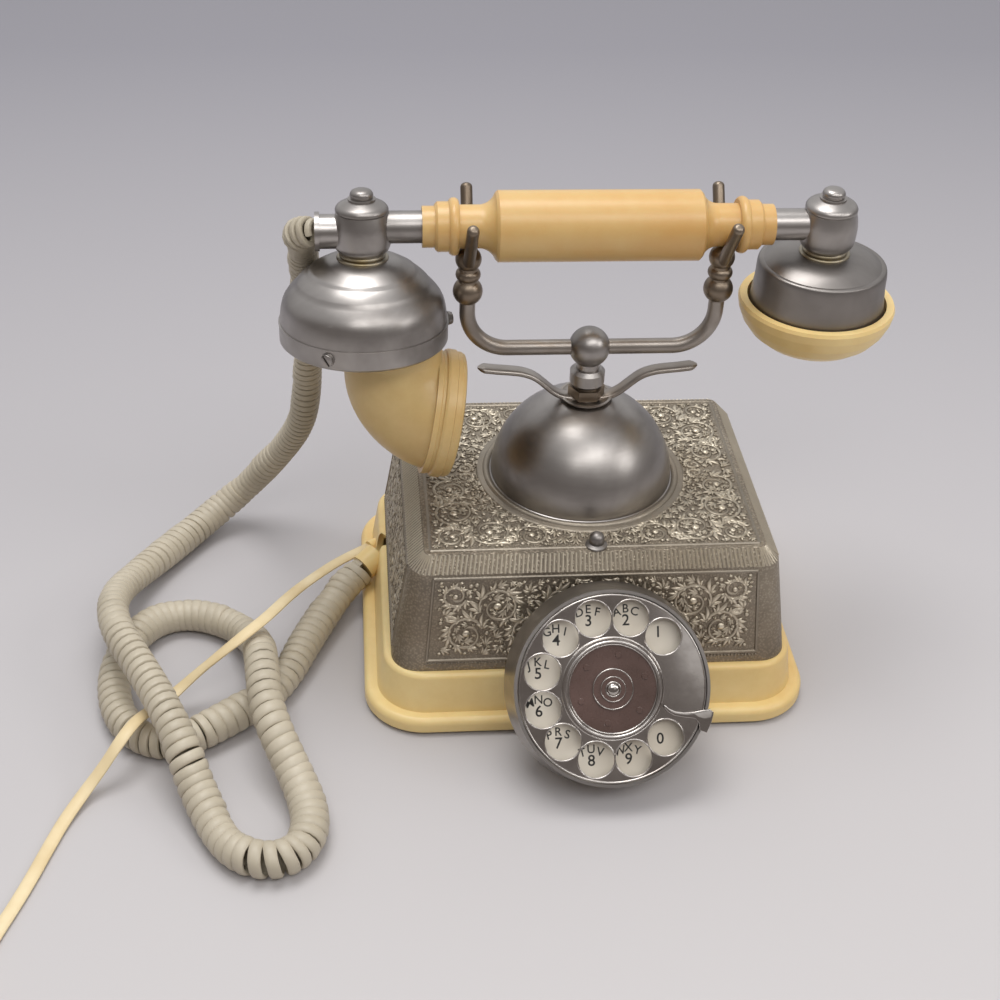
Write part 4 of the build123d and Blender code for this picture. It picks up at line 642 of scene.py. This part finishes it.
def plain_stuff(name, light, dark, rough, scale, bump=0.1, **even):
    """A stuff with two close tones and a fine tooth."""
    finish = Finish(name, **even)
    cloud = finish.noise(scale, 3, 0.6).spread(0.3, 0.7)
    tooth = finish.noise(scale * 12, 2, 0.6)
    return finish.paint(
        Base_Color=finish.blend(cloud, ink(light), ink(dark)),
        Roughness=rough + tooth * 0.12, Normal=finish.shape(tooth, bump),
    )


finishes["felt"] = plain_stuff("felt", "4E4A43", "38352F", 0.85, 90, 0.6)
finishes["black"] = plain_stuff("black_moulding", "2A2928", "1A1918", 0.45, 60)
finishes["dial_cream"] = plain_stuff("cream_enamel", "EDE6D8", "D9CFBE", 0.28, 25, 0.03, Coat_Weight=0.3)
finishes["card_brown"] = plain_stuff("brown_card", "66504A", "47362F", 0.22, 30, 0.05, Coat_Weight=0.8)
finishes["cord_grey"] = plain_stuff("warm_grey_vinyl", "C4BAA6", "ADA38F", 0.38, 30, 0.05)
finishes["cord_cream"] = plain_stuff("cream_vinyl", "EAD8B0", "D8C193", 0.4, 40, 0.05)
clear = Finish("clear_plastic", Transmission_Weight=0.9, IOR=1.49)
finishes["clear"] = clear.paint(
    Base_Color=clear.blend(clear.noise(60), ink("E4E8E8"), ink("C8D2D2")), Roughness=clear.noise(90) * 0.2,
)
print("finishes:", len(finishes))

# %% [markdown]
# Each solid already names its finish in its material slot, so one loop dresses them all.

# %% Dress the solids
for node in nodes.values():
    for place in node.material_slots:
        place.material = finishes[place.material.name.split(".")[0]]
for piece, word in ((curly_cord, "cord_grey"), (line_cord, "cord_cream")):
    piece.data.materials.append(finishes[word])
# The horn takes a deeper copy of the ivory: painted shadow, for the shade that the transmitter cup casts
# on it.
for name, material in (
    ("cradle_yoke", rubbed_bronze), ("neck_sleeve", rubbed_bronze), ("cord_grommets", finishes["ivory"]),
    ("mouthpiece_horn", ivory("painted_shadow_ivory", "D9BE84", "B9955A")),
):
    nodes[name].material_slots[0].material = material
print("dressed", len(nodes), "solids")

# %% [markdown]
# ## Finer pieces
# The rest is drawn with bmesh in millimetres, in a frame of its own: flat on a panel, on the
# dial's face or round an axis. A matrix puts it on the telephone and turns it into metres.

# %% Make a piece
to_metres = Matrix.Scale(MM, 4)


def add_mesh(shape, mesh, matrix):
    """Adds a mesh to a bmesh, in its place, and removes it."""
    mesh.transform(matrix)
    shape.from_mesh(mesh)
    bpy.data.meshes.remove(mesh)


def dress(piece, body, material, stands_for=None):
    """Says what a new piece is made of, what it moves with and which solid it stands for."""
    piece.data.materials.append(material)
    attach(piece, body)
    if stands_for:
        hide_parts(stands_for)
    print(piece.name, len(piece.data.polygons), "faces")


def make_piece(shape, name, body, material, matrices, crease=50, stands_for=None):
    """A piece that holds a copy of a bmesh for each matrix."""
    drawn = bpy.data.meshes.new("drawn")
    shape.to_mesh(drawn)
    shape.free()
    whole = bmesh.new()
    for matrix in matrices:
        add_mesh(whole, drawn.copy(), matrix)
    bmesh.ops.recalc_face_normals(whole, faces=whole.faces)
    dress(finished(whole, name, crease), body, material, stands_for)


def write_rise(shape, rise):
    """Writes on each vertex how far it rises, which says how bright it is rubbed."""
    layer = shape.verts.layers.float.new("rise")
    for vertex in shape.verts:
        vertex[layer] = rise(vertex.co.z)


# %% [markdown]
# ## The cast ornament
# Scrolling stems with leaves, buds and berries cover the sides and the top. Each panel is
# laid out flat in millimetres: u across, v up and w out. One matrix puts it on the housing.

# %% Where the panels are
half_x, half_y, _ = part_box("housing")[1] / MM
shoulder_x, shoulder_y, shoulder_z = 77.5, 62.3, plinth_top + 46.9
panel_half_x, panel_half_y = 71.0, 57.5


def panel_matrix(origin, across, up):
    """Puts a flat layout in millimetres on a face of the housing."""
    u, v = Vector(across).normalized(), Vector(up).normalized()
    turned = Matrix((u, v, u.cross(v))).transposed().to_4x4()
    return Matrix.Translation(at(*origin)) @ turned @ to_metres


lean_x, lean_y, wall_rise = half_x - shoulder_x, half_y - shoulder_y, shoulder_z - plinth_top
panels = {
    "front": panel_matrix((0, -half_y, plinth_top), (1, 0, 0), (0, lean_y, wall_rise)),
    "back": panel_matrix((0, half_y, plinth_top), (-1, 0, 0), (0, -lean_y, wall_rise)),
    "right": panel_matrix((half_x, 0, plinth_top), (0, 1, 0), (-lean_x, 0, wall_rise)),
    "left": panel_matrix((-half_x, 0, plinth_top), (0, -1, 0), (lean_x, 0, wall_rise)),
    "top": panel_matrix((0, 0, panel_z), (1, 0, 0), (0, 1, 0)),
}
print("panels:", list(panels))

# %% [markdown]
# A stem is a curve with a round bevel whose radius shrinks towards the eye of its scroll. It
# is turned into a mesh while it is still flat, pressed to part of its height and added to the
# panel's bmesh. A leaf lobe is a small ball, drawn out, bent and pinched at its tip.

# %% Stems, lobes and berries
even_turn = 250  # a scroll keeps its radius for so many degrees, and then winds in
wound_in = 0.78
stem_radius, stem_thinning, stem_height = 0.8, 0.4, 0.75
berry_height = 0.65


def scroll(centre, radius, start, turns, hand):
    """The places and radii along a scroll's arm."""
    steps = int(24 * turns)
    for step in range(steps + 1):
        gone = 360 * turns * step / steps
        inward = max(0, (gone - even_turn) / (360 * turns - even_turn))
        reach = radius * (1 - wound_in * inward)
        angle = radians(start + hand * gone)
        place = (centre[0] + reach * cos(angle), centre[1] + reach * sin(angle))
        yield place, stem_radius * (1 - stem_thinning * inward)


def add_stems(shape, stems):
    """Stems, each a list of (place, radius), swept round and pressed flat."""
    curve = bpy.data.curves.new("stems", "CURVE")
    curve.dimensions = "3D"
    curve.bevel_depth = 1.0
    curve.bevel_resolution = 1
    curve.use_fill_caps = True
    for stem in stems:
        run = curve.splines.new("POLY")
        run.points.add(len(stem) - 1)
        for point, ((u, v), radius) in zip(run.points, stem):
            point.co = (u, v, 0, 1)
            point.radius = radius
    add_mesh(shape, mesh_of(curve), Matrix.Diagonal((1, 1, stem_height, 1)))


def pattern(name, segments, rings, pinch):
    """A ball of radius 1 that points along x, pinched towards its tip and bent to the left."""
    shape = bmesh.new()
    ball = bmesh.ops.create_uvsphere(shape, u_segments=segments, v_segments=rings, radius=1.0)
    bmesh.ops.rotate(shape, verts=ball["verts"], matrix=Matrix.Rotation(pi / 2, 3, "Y"))
    for vertex in ball["verts"]:
        narrow = 1 - pinch * max(0, vertex.co.x) ** 2 - pinch / 3 * max(0, -vertex.co.x)
        vertex.co.z *= narrow
        vertex.co.y = vertex.co.y * narrow + 1.6 * pinch * (vertex.co.x ** 2 - 0.5)
    mesh = bpy.data.meshes.new(name)
    shape.to_mesh(mesh)
    shape.free()
    return mesh


lobe_pattern = pattern("lobe", 7, 6, 0.5)
berry_pattern = pattern("berry", 8, 6, 0.0)


def add_lobe(shape, u, v, angle, length, width, height=0.8, hand=1):
    """One plump lobe with its foot at (u, v) that points along the angle and bends to a hand."""
    turned = Matrix.Translation((u, v, 0)) @ Matrix.Rotation(angle, 4, "Z")
    size = Matrix.Diagonal((length / 2, hand * width / 2, height, 1))
    add_mesh(shape, lobe_pattern.copy(), turned @ Matrix.Translation((length / 2, 0, 0)) @ size)


def add_berry(shape, u, v, radius):
    """A round berry."""
    size = Matrix.Diagonal((radius, radius, berry_height * radius, 1))
    add_mesh(shape, berry_pattern.copy(), Matrix.Translation((u, v, 0)) @ size)


print("a lobe has", len(lobe_pattern.polygons), "faces, a berry", len(berry_pattern.polygons))

# %% [markdown]
# The layout starts from a list of scrolls. Leaves grow off the outside of each one, a berry
# fills its eye, and the ground that is left is filled with small sprigs: a seeded random
# search keeps each of them clear of what is there already.

# %% Fill a panel with ornament
leaves, first_leaf, leafy_share = 7, 0.02, 0.62
# a leaf's lobes: how far each leans from the stem, and its length
leaf_lobes = ((-0.35, 1.0), (-0.9, 0.72), (-1.5, 0.42), (0.5, 0.46))
sprig_turns = (-0.75, -0.3, 0.2, 0.7)
sprig_rooms = (2.3, 1.5, 0.8)  # the search places the big sprigs first
fan_spread = 2.6
berry_share = 0.1


class Layout:
    """What is on a panel: stems and everything else, with the room each takes."""

    def __init__(self, seed, inside, scrolls, fans):
        self.shape = bmesh.new()
        self.stems = []
        self.eyes = []
        self.taken = []
        self.inside = inside
        self.chance = random.Random(seed)
        for given in scrolls:
            self.add_scroll(*given)
        for given in fans:
            self.add_fan(*given)

    def free(self, u, v, room):
        """Whether a place has that much room round it."""
        if not self.inside(u, v, room):
            return False
        return all(hypot(u - x, v - y) > room + r for x, y, r in self.taken)

    def add_scroll(self, u, v, radius, start, turns, hand):
        stem = list(scroll((u, v), radius, start, turns, hand))
        self.stems.append(stem)
        self.taken += [(x, y, thick + 0.1) for (x, y), thick in stem]
        eye = 0.2 * radius + 0.35
        add_berry(self.shape, u, v, eye)
        self.taken.append((u, v, eye))
        for leaf in range(leaves):
            x, y = stem[int(len(stem) * (first_leaf + leafy_share * leaf / leaves))][0]
            ahead = atan2(y - v, x - u) + hand * pi / 2
            for lean, share in leaf_lobes:
                angle = ahead + hand * lean
                length = (radius + 0.6) * share * (1 - 0.05 * leaf)
                tip_x, tip_y = x + length * cos(angle) * 0.7, y + length * sin(angle) * 0.7
                if self.inside(tip_x, tip_y, 0.3 * length):
                    bend = -hand if lean < 0 else hand
                    add_lobe(self.shape, x, y, angle, length, 0.24 * length + 0.6, 0.85, bend)
                    self.taken.append((tip_x, tip_y, 0.22 * length))
        self.eyes.append((u, v, hand))

    def add_fan(self, u, v, angle, size, lobes=5):
        """A leaf of several lobes."""
        for lobe in range(lobes):
            turn = (lobe / (lobes - 1) - 0.5) * fan_spread
            length = size * (1 - 0.22 * abs(turn))
            add_lobe(self.shape, u, v, angle + turn, length, 0.34 * size)
        self.taken.append((u + 0.4 * size * cos(angle), v + 0.4 * size * sin(angle), 0.6 * size))

    def fill(self, low_u, high_u, low_v, high_v, tries):
        """Sprigs and berries in what is left."""
        for attempt in range(tries):
            u = self.chance.uniform(low_u, high_u)
            v = self.chance.uniform(low_v, high_v)
            room = sprig_rooms[int(len(sprig_rooms) * attempt / tries)]
            if not self.free(u, v, room * 0.8):
                continue
            x, y, hand = min(self.eyes, key=lambda eye: hypot(u - eye[0], v - eye[1]))
            angle = atan2(v - y, u - x) + hand * pi / 2 + self.chance.uniform(-0.8, 0.8)
            if self.chance.random() < berry_share:
                add_berry(self.shape, u, v, min(1.1, 0.7 * room))
            else:
                foot = (u - room * cos(angle), v - room * sin(angle))
                for turn in sprig_turns:
                    length, bend = 2.5 * room * (1 - 0.35 * abs(turn)), 1 if turn > 0 else -1
                    add_lobe(self.shape, *foot, angle + turn, length, 0.5 * room + 0.35, 0.7, bend)
            self.taken.append((u, v, room * 0.75))

    def finish(self, name, matrices, metal):
        """The ornament in its place, once for each matrix, with its rise written on it."""
        add_stems(self.shape, self.stems)
        write_rise(self.shape, lambda height: min(1, max(0, height / 0.8)))
        make_piece(self.shape, name, "base", metal, matrices, 60)


# %% [markdown]
# The front and back share one layout of two mirrored halves, and so do the two sides.

# %% Ornament of the four walls
mirror_u = Matrix.Diagonal((-1, 1, 1, 1))


def cover_walls(name, metal, walls, half_width, seed, scrolls, fans):
    """Fills the right half of a wall, and puts it on both halves of two walls."""

    def on_wall(u, v, room):
        return 0.5 + room < u < half_width - room and 7.5 + room < v < 44 - room

    layout = Layout(seed, on_wall, scrolls, fans)
    layout.fill(0, half_width, 7, 45, 5200)
    layout.finish(name, [panels[wall] @ half for wall in walls for half in (Matrix(), mirror_u)], metal)


# The front and back walls take the lighter copy of the cast ornament, which paints in light.
cover_walls(
    "wall_scrolls", painted_light_cast, ("front", "back"), 66, 11,
    [
        (54, 18.5, 7.2, 160, 1.3, -1), (41, 31.5, 7.6, -20, 1.3, 1), (27, 18, 7.4, 160, 1.3, -1),
        (14, 31, 7.2, -20, 1.3, 1), (58.5, 36.5, 4.6, 200, 1.4, 1), (4.6, 15, 4.4, 60, 1.3, -1),
    ],
    [(63, 27.5, 2.9, 5.5), (40, 12, -1.3, 4.6), (27.5, 38, 1.6, 5), (12, 20, 0.6, 4.2)],
)
cover_walls(
    "side_scrolls", raised_cast, ("right", "left"), 51, 23,
    [
        (40, 18, 7.2, 160, 1.3, -1), (27.5, 31.5, 7.4, -20, 1.3, 1), (14, 17.5, 7.2, 160, 1.3, -1),
        (44.5, 36, 4.8, 200, 1.4, 1), (5, 33, 5, -60, 1.4, 1),
    ],
    [(48, 27.5, 2.9, 4.5), (27, 12, -1.4, 4.4), (16, 38, 1.7, 4.8)],
)

# %% [markdown]
# The top is laid out in one quarter and mirrored both ways. It stays clear of the dome and of
# the screw in front of it.

# %% Ornament of the top
dome_room, screw_room, screw_v = 42.6, 6.4, 54


def on_top(u, v, room):
    """Inside a quarter of the top panel, off the dome and the screw."""
    if not (0.4 + room < u < 67.3 - room and 0.4 + room < v < 53.8 - room):
        return False
    return hypot(u, v) > dome_room + room and hypot(u, v - screw_v) > screw_room + room


top_layout = Layout(
    31, on_top,
    [
        (58.5, 12.5, 6.6, -100, 1.3, 1), (57.5, 30, 7.6, 100, 1.3, -1), (43.5, 43.5, 7.8, -30, 1.3, 1),
        (59, 46, 5.6, 160, 1.3, 1), (26, 46, 6.0, 20, 1.3, -1), (50.5, 3.5, 2.6, 90, 1.1, 1),
    ],
    [(50.5, 22, 1.9, 5), (66, 21.5, 2.6, 4.6), (33.5, 50.5, -0.9, 4.2), (15.5, 44.5, 1.2, 4.4)],
)
top_layout.fill(0, 68, 0, 55, 6500)
quarters = [Matrix.Diagonal((a, b, 1, 1)) for a in (1, -1) for b in (1, -1)]
top_layout.finish("top_scrolls", [panels["top"] @ quarter for quarter in quarters], raised_cast)

# %% [markdown]
# Plain mouldings frame the panels: a thin rail round each, a row of beads along the foot and
# a band of flutes under the edge of the top, which fans out at the corners.

# %% Rails, beads and flutes
bead_radius, bead_spacing, bead_v = 0.62, 1.5, 3.6


def on_panel(name, u, v, w=0.0):
    """A place on a panel, in millimetres."""
    return panels[name] @ Vector((u, v, w)) / MM


def evenly(count):
    """Numbers from -1 to 1."""
    return [2 * index / (count - 1) - 1 for index in range(count)]


def add_rod(shape, low, high, radius):
    """A thin rod between two places in millimetres."""
    run = high - low
    turned = run.to_track_quat("Z", "Y").to_matrix().to_4x4()
    bmesh.ops.create_cone(
        shape, cap_ends=True, segments=6, radius1=radius, radius2=radius, depth=run.length,
        matrix=Matrix.Translation((low + high) / 2) @ turned,
    )


def add_rail(shape, name, foot, head, low, high, depth, radius):
    """A rail round a panel that is wider at its foot than at its head."""
    corners = [(-foot, low), (foot, low), (head, high), (-head, high)]
    places = [on_panel(name, u, v, -depth) for u, v in corners]
    for place, following in zip(places, places[1:] + places[:1]):
        add_rod(shape, place, following, radius)


frames = {"front": (70.5, 67.5), "back": (70.5, 67.5), "right": (54.5, 52.6), "left": (54.5, 52.6)}
rails = bmesh.new()
beads = bmesh.new()
for name, (foot, head) in frames.items():
    add_rail(rails, name, foot, head, 5.2, 45.3, 0.15, 0.75)
    for share in evenly(int(2 * foot / bead_spacing) + 1):
        ball = bmesh.ops.create_uvsphere(beads, u_segments=6, v_segments=4, radius=bead_radius)["verts"]
        bmesh.ops.translate(beads, verts=ball, vec=on_panel(name, foot * share, bead_v))
add_rail(rails, "top", 68.6, 68.6, -55.1, 55.1, 0.25, 0.7)
make_piece(rails, "panel_rails", "base", plain_cast, [to_metres])
make_piece(beads, "foot_beads", "base", plain_cast, [to_metres])

straight_x, straight_y = 69.5, 54.3  # the corners' fans begin here
fan_x, fan_y = 68.0, 54.5  # and their upper ends stand round here
flute_top = panel_z - 0.5
flute_radius, corner_flute_radius = 0.6, 0.5
flutes = bmesh.new()
for across in (-1, 1):
    for share in evenly(77):
        low = Vector((straight_x * share, across * shoulder_y, shoulder_z))
        high = Vector((fan_x * share, across * (panel_half_y + 0.2), flute_top))
        add_rod(flutes, low, high, flute_radius)
    for share in evenly(61):
        low = Vector((across * shoulder_x, straight_y * share, shoulder_z))
        high = Vector((across * (panel_half_x + 0.2), straight_y * share, flute_top))
        add_rod(flutes, low, high, flute_radius)
    for hand in (-1, 1):
        for index in range(1, 8):
            angle = radians(90 * index / 8)
            out = Vector((across * cos(angle), hand * sin(angle), 0))
            low = Vector((across * straight_x, hand * straight_y, shoulder_z)) + out * 7.6
            high = Vector((across * fan_x, hand * fan_y, flute_top)) + out * 3.1
            add_rod(flutes, low, high, corner_flute_radius)
write_rise(flutes, lambda height: 0.95)
make_piece(flutes, "shoulder_flutes", "base", raised_cast, [to_metres])

# %% [markdown]
# ## The dial
# The figures stand on the number plate, five millimetres behind the wheel. A text is turned
# into a mesh flat on the floor, and one matrix carries it to its place on the dial, which
# leans back by 35 degrees.

# %% Figures and letters
dial_lean = radians(35)
upright = Matrix.Rotation(radians(90) - dial_lean, 4, "X")
dial_face = Matrix.Translation(at(2.4, -103.7, 46)) @ upright @ to_metres
holes, hole_circle, first_hole, hole_spacing = 10, 29.2, 44.2, 30.2
figure_size, letter_size = 6.4, 4.9
print_height = -4.97
print_x, print_y = -1.2, -0.9  # the print stands a little left of each hole's middle, and below
letter_places = ((-3.7, 3.0, 0.22), (-0.1, 4.3, 0), (3.6, 3.1, -0.22))


def hole_place(index):
    """The middle of a finger hole, on the dial's face."""
    angle = radians(first_hole + hole_spacing * index)
    return hole_circle * cos(angle), hole_circle * sin(angle)


def lettering(shape, text, size, x, y, turn):
    """Adds a text, middle at (x, y) on the number plate."""
    words = bpy.data.curves.new("words", "FONT")
    words.body = text
    words.size = size
    words.align_x = "CENTER"
    words.align_y = "CENTER"
    words.extrude = 0.03
    words.offset = 0.011 * size
    words.resolution_u = 3
    place = Matrix.Translation((x, y, print_height)) @ Matrix.Rotation(turn, 4, "Z")
    add_mesh(shape, mesh_of(words), dial_face @ place)


groups = ["", "ABC", "DEF", "GHI", "JKL", "MNO", "PRS", "TUV", "WXY", ""]
figures = bmesh.new()
for index, group in enumerate(groups):
    x, y = hole_place(index)
    x += print_x
    y += print_y
    if index == 0:
        y += 2.6  # the 1 has no letters over it and stands higher
    lettering(figures, str((index + 1) % holes), figure_size, x, y - 0.4, 0)
    for letter, (dx, dy, turn) in zip(group, letter_places):
        lettering(figures, letter, letter_size, x + dx, y + dy, turn)
print_black = plain_stuff("printed_black", "23211F", "2E2B28", 0.4, 200)
dress(finished(figures, "dial_figures", 30), "base", print_black)

# %% [markdown]
# The wheel's holes have rolled lips. Each is a full turn of a small round section, made with
# spin. The same tool turns the rings of the card holder and the groove at the wheel's edge.

# %% Lips and rings on the wheel
full_turn = {"axis": (0, 0, 1), "angle": 2 * pi, "use_merge": True, "use_duplicate": False}


def add_ring(shape, x, y, z, radius, thickness, steps):
    """A round ring on the dial's face."""
    section = bmesh.ops.create_circle(
        shape, cap_ends=False, segments=8, radius=thickness,
        matrix=Matrix.Translation((x + radius, y, z)) @ Matrix.Rotation(pi / 2, 4, "X"),
    )["verts"]
    edges = list({edge for vertex in section for edge in vertex.link_edges})
    bmesh.ops.spin(shape, geom=section + edges, steps=steps, cent=(x, y, z), **full_turn)


lips = bmesh.new()
for index in range(holes):
    add_ring(lips, *hole_place(index), -0.05, 7.55, 0.32, 40)
for z, radius, thickness, steps in ((0.0, 37.7, 0.4, 96), (0.1, 20.6, 0.35, 72), (1.45, 19.1, 0.5, 72)):
    add_ring(lips, 0, 0, z, radius, thickness, steps)
make_piece(lips, "wheel_lips", "finger_wheel_body", finishes["chrome"], [dial_face], 60)

# %% [markdown]
# The finger stop is a thin curved blade that reaches in from the rim, with a tab that is
# folded down over the rim. The card's hub is a low clear button round a small screw.

# %% Finger stop, hub and card


def add_plate(shape, outline, low, high, edge=0.2):
    """A flat plate from its outline, with the edges of its upper face softened."""
    face = shape.faces.new([shape.verts.new((x, y, low)) for x, y in outline])
    made = bmesh.ops.extrude_face_region(shape, geom=[face])["geom"]
    corners = {part for part in made if isinstance(part, bmesh.types.BMVert)}
    bmesh.ops.translate(shape, verts=list(corners), vec=(0, 0, high - low))
    rim = {line for corner in corners for line in corner.link_edges if corners.issuperset(line.verts)}
    bmesh.ops.bevel(
        shape, geom=list(rim), offset=edge, offset_type="OFFSET", segments=2, profile=0.5,
        affect="EDGES", material=-1, clamp_overlap=True,
    )


def add_disc(shape, radius, top_radius, low, high, sides, x=0.0, y=0.0):
    """A round disc that narrows a little towards its top."""
    bmesh.ops.create_cone(
        shape, cap_ends=True, segments=sides, radius1=radius, radius2=top_radius, depth=high - low,
        matrix=Matrix.Translation((x, y, (low + high) / 2)),
    )


blade = [
    (20.6, -7.0), (22.6, -8.6), (25.2, -9.8), (28.8, -10.4), (32.5, -10.2), (36, -9.6), (39.0, -9.2),
    (40.6, -10.6), (39.6, -14.6), (37.6, -18.8), (34.6, -17.6), (34.6, -14.8), (32.8, -12.8),
    (28.8, -12.2), (24.6, -11.4), (22.0, -9.9), (20.3, -7.9),
]
rim_tab = [(40.2, turn) for turn in range(-26, -14, 2)] + [(41.4, turn) for turn in range(-16, -28, -2)]
stop = bmesh.new()
add_plate(stop, blade, 0.7, 1.7)
add_plate(stop, [(r * cos(radians(turn)), r * sin(radians(turn))) for r, turn in rim_tab], -4, 1.5)
make_piece(stop, "finger_stop_blade", "base", finishes["chrome"], [dial_face], 50, "finger_stop")

hub = bmesh.new()
add_disc(hub, 8.2, 7.9, 0.5, 1.1, 64)
add_disc(hub, 5.2, 4.9, 1.1, 1.5, 64)
for step in range(6):
    angle = radians(20 + 60 * step)
    add_disc(hub, 1.5, 1.1, 0.35, 0.85, 20, 13.8 * cos(angle), 13.8 * sin(angle))
card = finishes["card_brown"]
make_piece(hub, "card_hub", "finger_wheel_body", card, [dial_face], 50, "wheel_screw")

screw = bmesh.new()
bmesh.ops.create_uvsphere(
    screw, u_segments=24, v_segments=12, radius=2.4,
    matrix=Matrix.Translation((0, 0, 1.6)) @ Matrix.Diagonal((1, 1, 0.42, 1)),
)
for radius, z, thickness in ((8.1, 1.0, 0.26), (5.0, 1.45, 0.2), (2.9, 1.5, 0.35), (17.9, 0.8, 0.3)):
    add_ring(screw, 0, 0, z, radius, thickness, 64)
make_piece(screw, "hub_screw", "finger_wheel_body", finishes["chrome"], [dial_face])

# %% [markdown]
# ## Turned metal
# The solids of the handset's fittings are turned from short cones where the real ones are
# smooth. Each is drawn again as a profile of (radius, height) and spun round its axis. A
# profile is a list of runs, and each run goes on from the end of the one before. A run that
# passes through places on its way is smooth, and where two runs meet there is an edge.

# %% Turned pieces
knuckle_x = 93.65
bell_turn = Matrix.Rotation(radians(-6), 4, "X")
left_unit = Matrix.Translation(at(-knuckle_x, 0, handset_z)) @ bell_turn @ to_metres
right_unit = Matrix.Translation(at(knuckle_x, 0, handset_z)) @ to_metres


def spun(runs, steps=72):
    """A closed turned shape: the profile starts and ends on the axis."""
    corners, end = [], []
    for run in runs:
        places = [(radius, 0, height) for radius, height in end + run]
        corners += smooth_line(places, 5) if len(places) > 2 else [Vector(place) for place in places]
        end = run[-1:]
    shape = bmesh.new()
    ring = [shape.verts.new(corner) for corner in corners]
    edges = [shape.edges.new(pair) for pair in zip(ring, ring[1:])]
    bmesh.ops.spin(shape, geom=ring + edges, steps=steps, cent=(0, 0, 0), **full_turn)
    bmesh.ops.remove_doubles(shape, verts=shape.verts, dist=0.003)
    return shape


def turned_piece(name, runs, material, units, steps=72, stands_for=None):
    """A turned piece of the handset."""
    make_piece(spun(runs, steps), name, "handset", material, units, 35, stands_for)


turned_piece("transmitter_bell", [
    [(0, -12.4), (9.4, -12.4)], [(13, -13), (17.4, -15), (21.2, -17.3)], [(21.7, -18.1)],
    [(24.2, -19.6), (26.5, -22.2)], [(27.0, -23.1)], [(30.8, -26.6), (33.4, -32.4), (33.7, -38.6)],
    [(34.3, -38.7)], [(34.3, -39.2)], [(32.3, -39.2)],
    [(31.2, -31), (24, -21.5), (12, -14.8), (0, -14.4)],
], finishes["nickel"], [left_unit], stands_for="transmitter_cup")

turned_piece("receiver_bell", [
    [(0, -12.4), (9.2, -12.4)], [(16.5, -13), (21.5, -14.8), (24.0, -16.6)],
    [(25.7, -16.4), (26.4, -18.2), (26.5, -20.0)], [(26.5, -25), (27.3, -32), (28.3, -38)],
    [(27, -38)], [(25.6, -24), (22, -18.4), (12, -14.6), (0, -14.4)],
], darker_nickel, [right_unit], stands_for="receiver_shell")

turned_piece("knuckle_sleeves", [
    [(0, -9.9), (8.9, -9.9)], [(11.0, -8.8), (11.6, -3), (11.4, 2.5), (10.3, 6.3)], [(9.9, 6.6)],
    [(10.5, 6.9)], [(10.5, 7.6)], [(10.1, 8.9), (7.8, 10.2), (5.4, 11.1)], [(0, 11.1)],
], finishes["nickel"], [left_unit, right_unit])

turned_piece("knuckle_collars", [
    [(0, -12.9), (10.2, -12.9)], [(10.7, -12.2), (9.9, -11.6)], [(8.9, -11.5)],
    [(9.7, -10.9), (9.0, -10.2)], [(8.6, -9.8)], [(0, -9.8)],
], finishes["collar"], [left_unit, right_unit])

turned_piece("acorn_nuts", [
    [(0, 10.9), (5.4, 10.9)], [(5.5, 11.9)], [(4.3, 12.1)],
    [(4.9, 13.2), (3.8, 15.2), (1.2, 15.7), (0, 15.7)],
], finishes["nickel"], [left_unit, right_unit], 40, "cap_nuts")

# %% [markdown]
# The dome stands in a plain cast ring. The wings above it are flat bars that rise in an S from
# a dish under the neck's nut and run out level.

# %% Ring, dish and wings
dome_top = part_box("dome_cover")[1].z / MM
ring = spun([
    [(0, -0.4), (46, -0.4)], [(45.6, 0.6), (44.6, 0.9), (43, 1.0)],
    [(42.6, 1.9), (41.2, 2.2), (40.2, 1.6)], [(39.5, -0.2)], [(0, -0.2)],
], 120)
ring_place = Matrix.Translation(at(0, 0, panel_z)) @ to_metres
make_piece(ring, "dome_ring", "base", plain_cast, [ring_place])

wing_places = [
    (3, 1.0), (9, 1.4), (13.5, 3.4), (18, 7.6), (22.5, 11.6), (28, 13.7), (34, 14.4), (40, 14.9),
    (46.6, 15.9),
]
wing_width, wing_thickness, wing_reach = 6.6, 2.6, 46.6
rounding = 2.5  # the length over which a wing's tip is rounded
tip_share = 0.25
sideways = Vector((0, 1, 0))
wings = spun([
    [(0, -0.6), (7.5, -0.6)], [(10.6, 0.6), (11.2, 2.4)], [(10.2, 2.5)], [(9, 1.2), (6, 1.0)], [(0, 1.0)],
], 60)
for across in (-1, 1):
    steps = []
    for place, ahead in with_heading(smooth_line([(across * x, 0, z) for x, z in wing_places], 8)):
        tip = min(1, max(tip_share, sqrt(max(0, (wing_reach - abs(place.x)) / rounding))))
        steps.append((place, sideways.cross(ahead) * tip, sideways * tip))
    add_band(wings, steps, wing_width, wing_thickness, 16, 1)
wing_place = Matrix.Translation(at(0, 0, dome_top)) @ to_metres
make_piece(wings, "flat_wings", "base", rubbed_bronze, [wing_place], 40, "wing_bracket")

# %% [markdown]
# The band's two screws have wide slotted heads. A head is two half discs on a thin washer, so
# that the slot between them is real.

# %% Screws of the band
slot_angle = 0.13
half_disc_steps = 14
head = bmesh.new()
add_disc(head, 2.9, 2.7, -0.2, 1.0, 36)
add_disc(head, 1.3, 1.3, -3.1, 0.3, 20)
for side in (0, pi):
    step = (pi - 2 * slot_angle) / half_disc_steps
    round_edge = [side + slot_angle + step * index for index in range(half_disc_steps + 1)]
    add_plate(head, [(2.5 * cos(angle), 2.5 * sin(angle)) for angle in round_edge], 0.8, 1.8, 0.45)
outward = Matrix.Rotation(pi / 2, 4, "Y")
head_places = [
    left_unit @ Matrix.Rotation(radians(turn), 4, "Z") @ Matrix.Translation((stand, 0, -42.6))
    @ outward @ Matrix.Rotation(slot_turn, 4, "Z")
    for turn, slot_turn, stand in ((-115, 0.6, 34.0), (14, 0.2, 35.6))
]
nickel = finishes["nickel"]
make_piece(head, "band_screw_heads", "handset", nickel, head_places, 30, "band_screws")
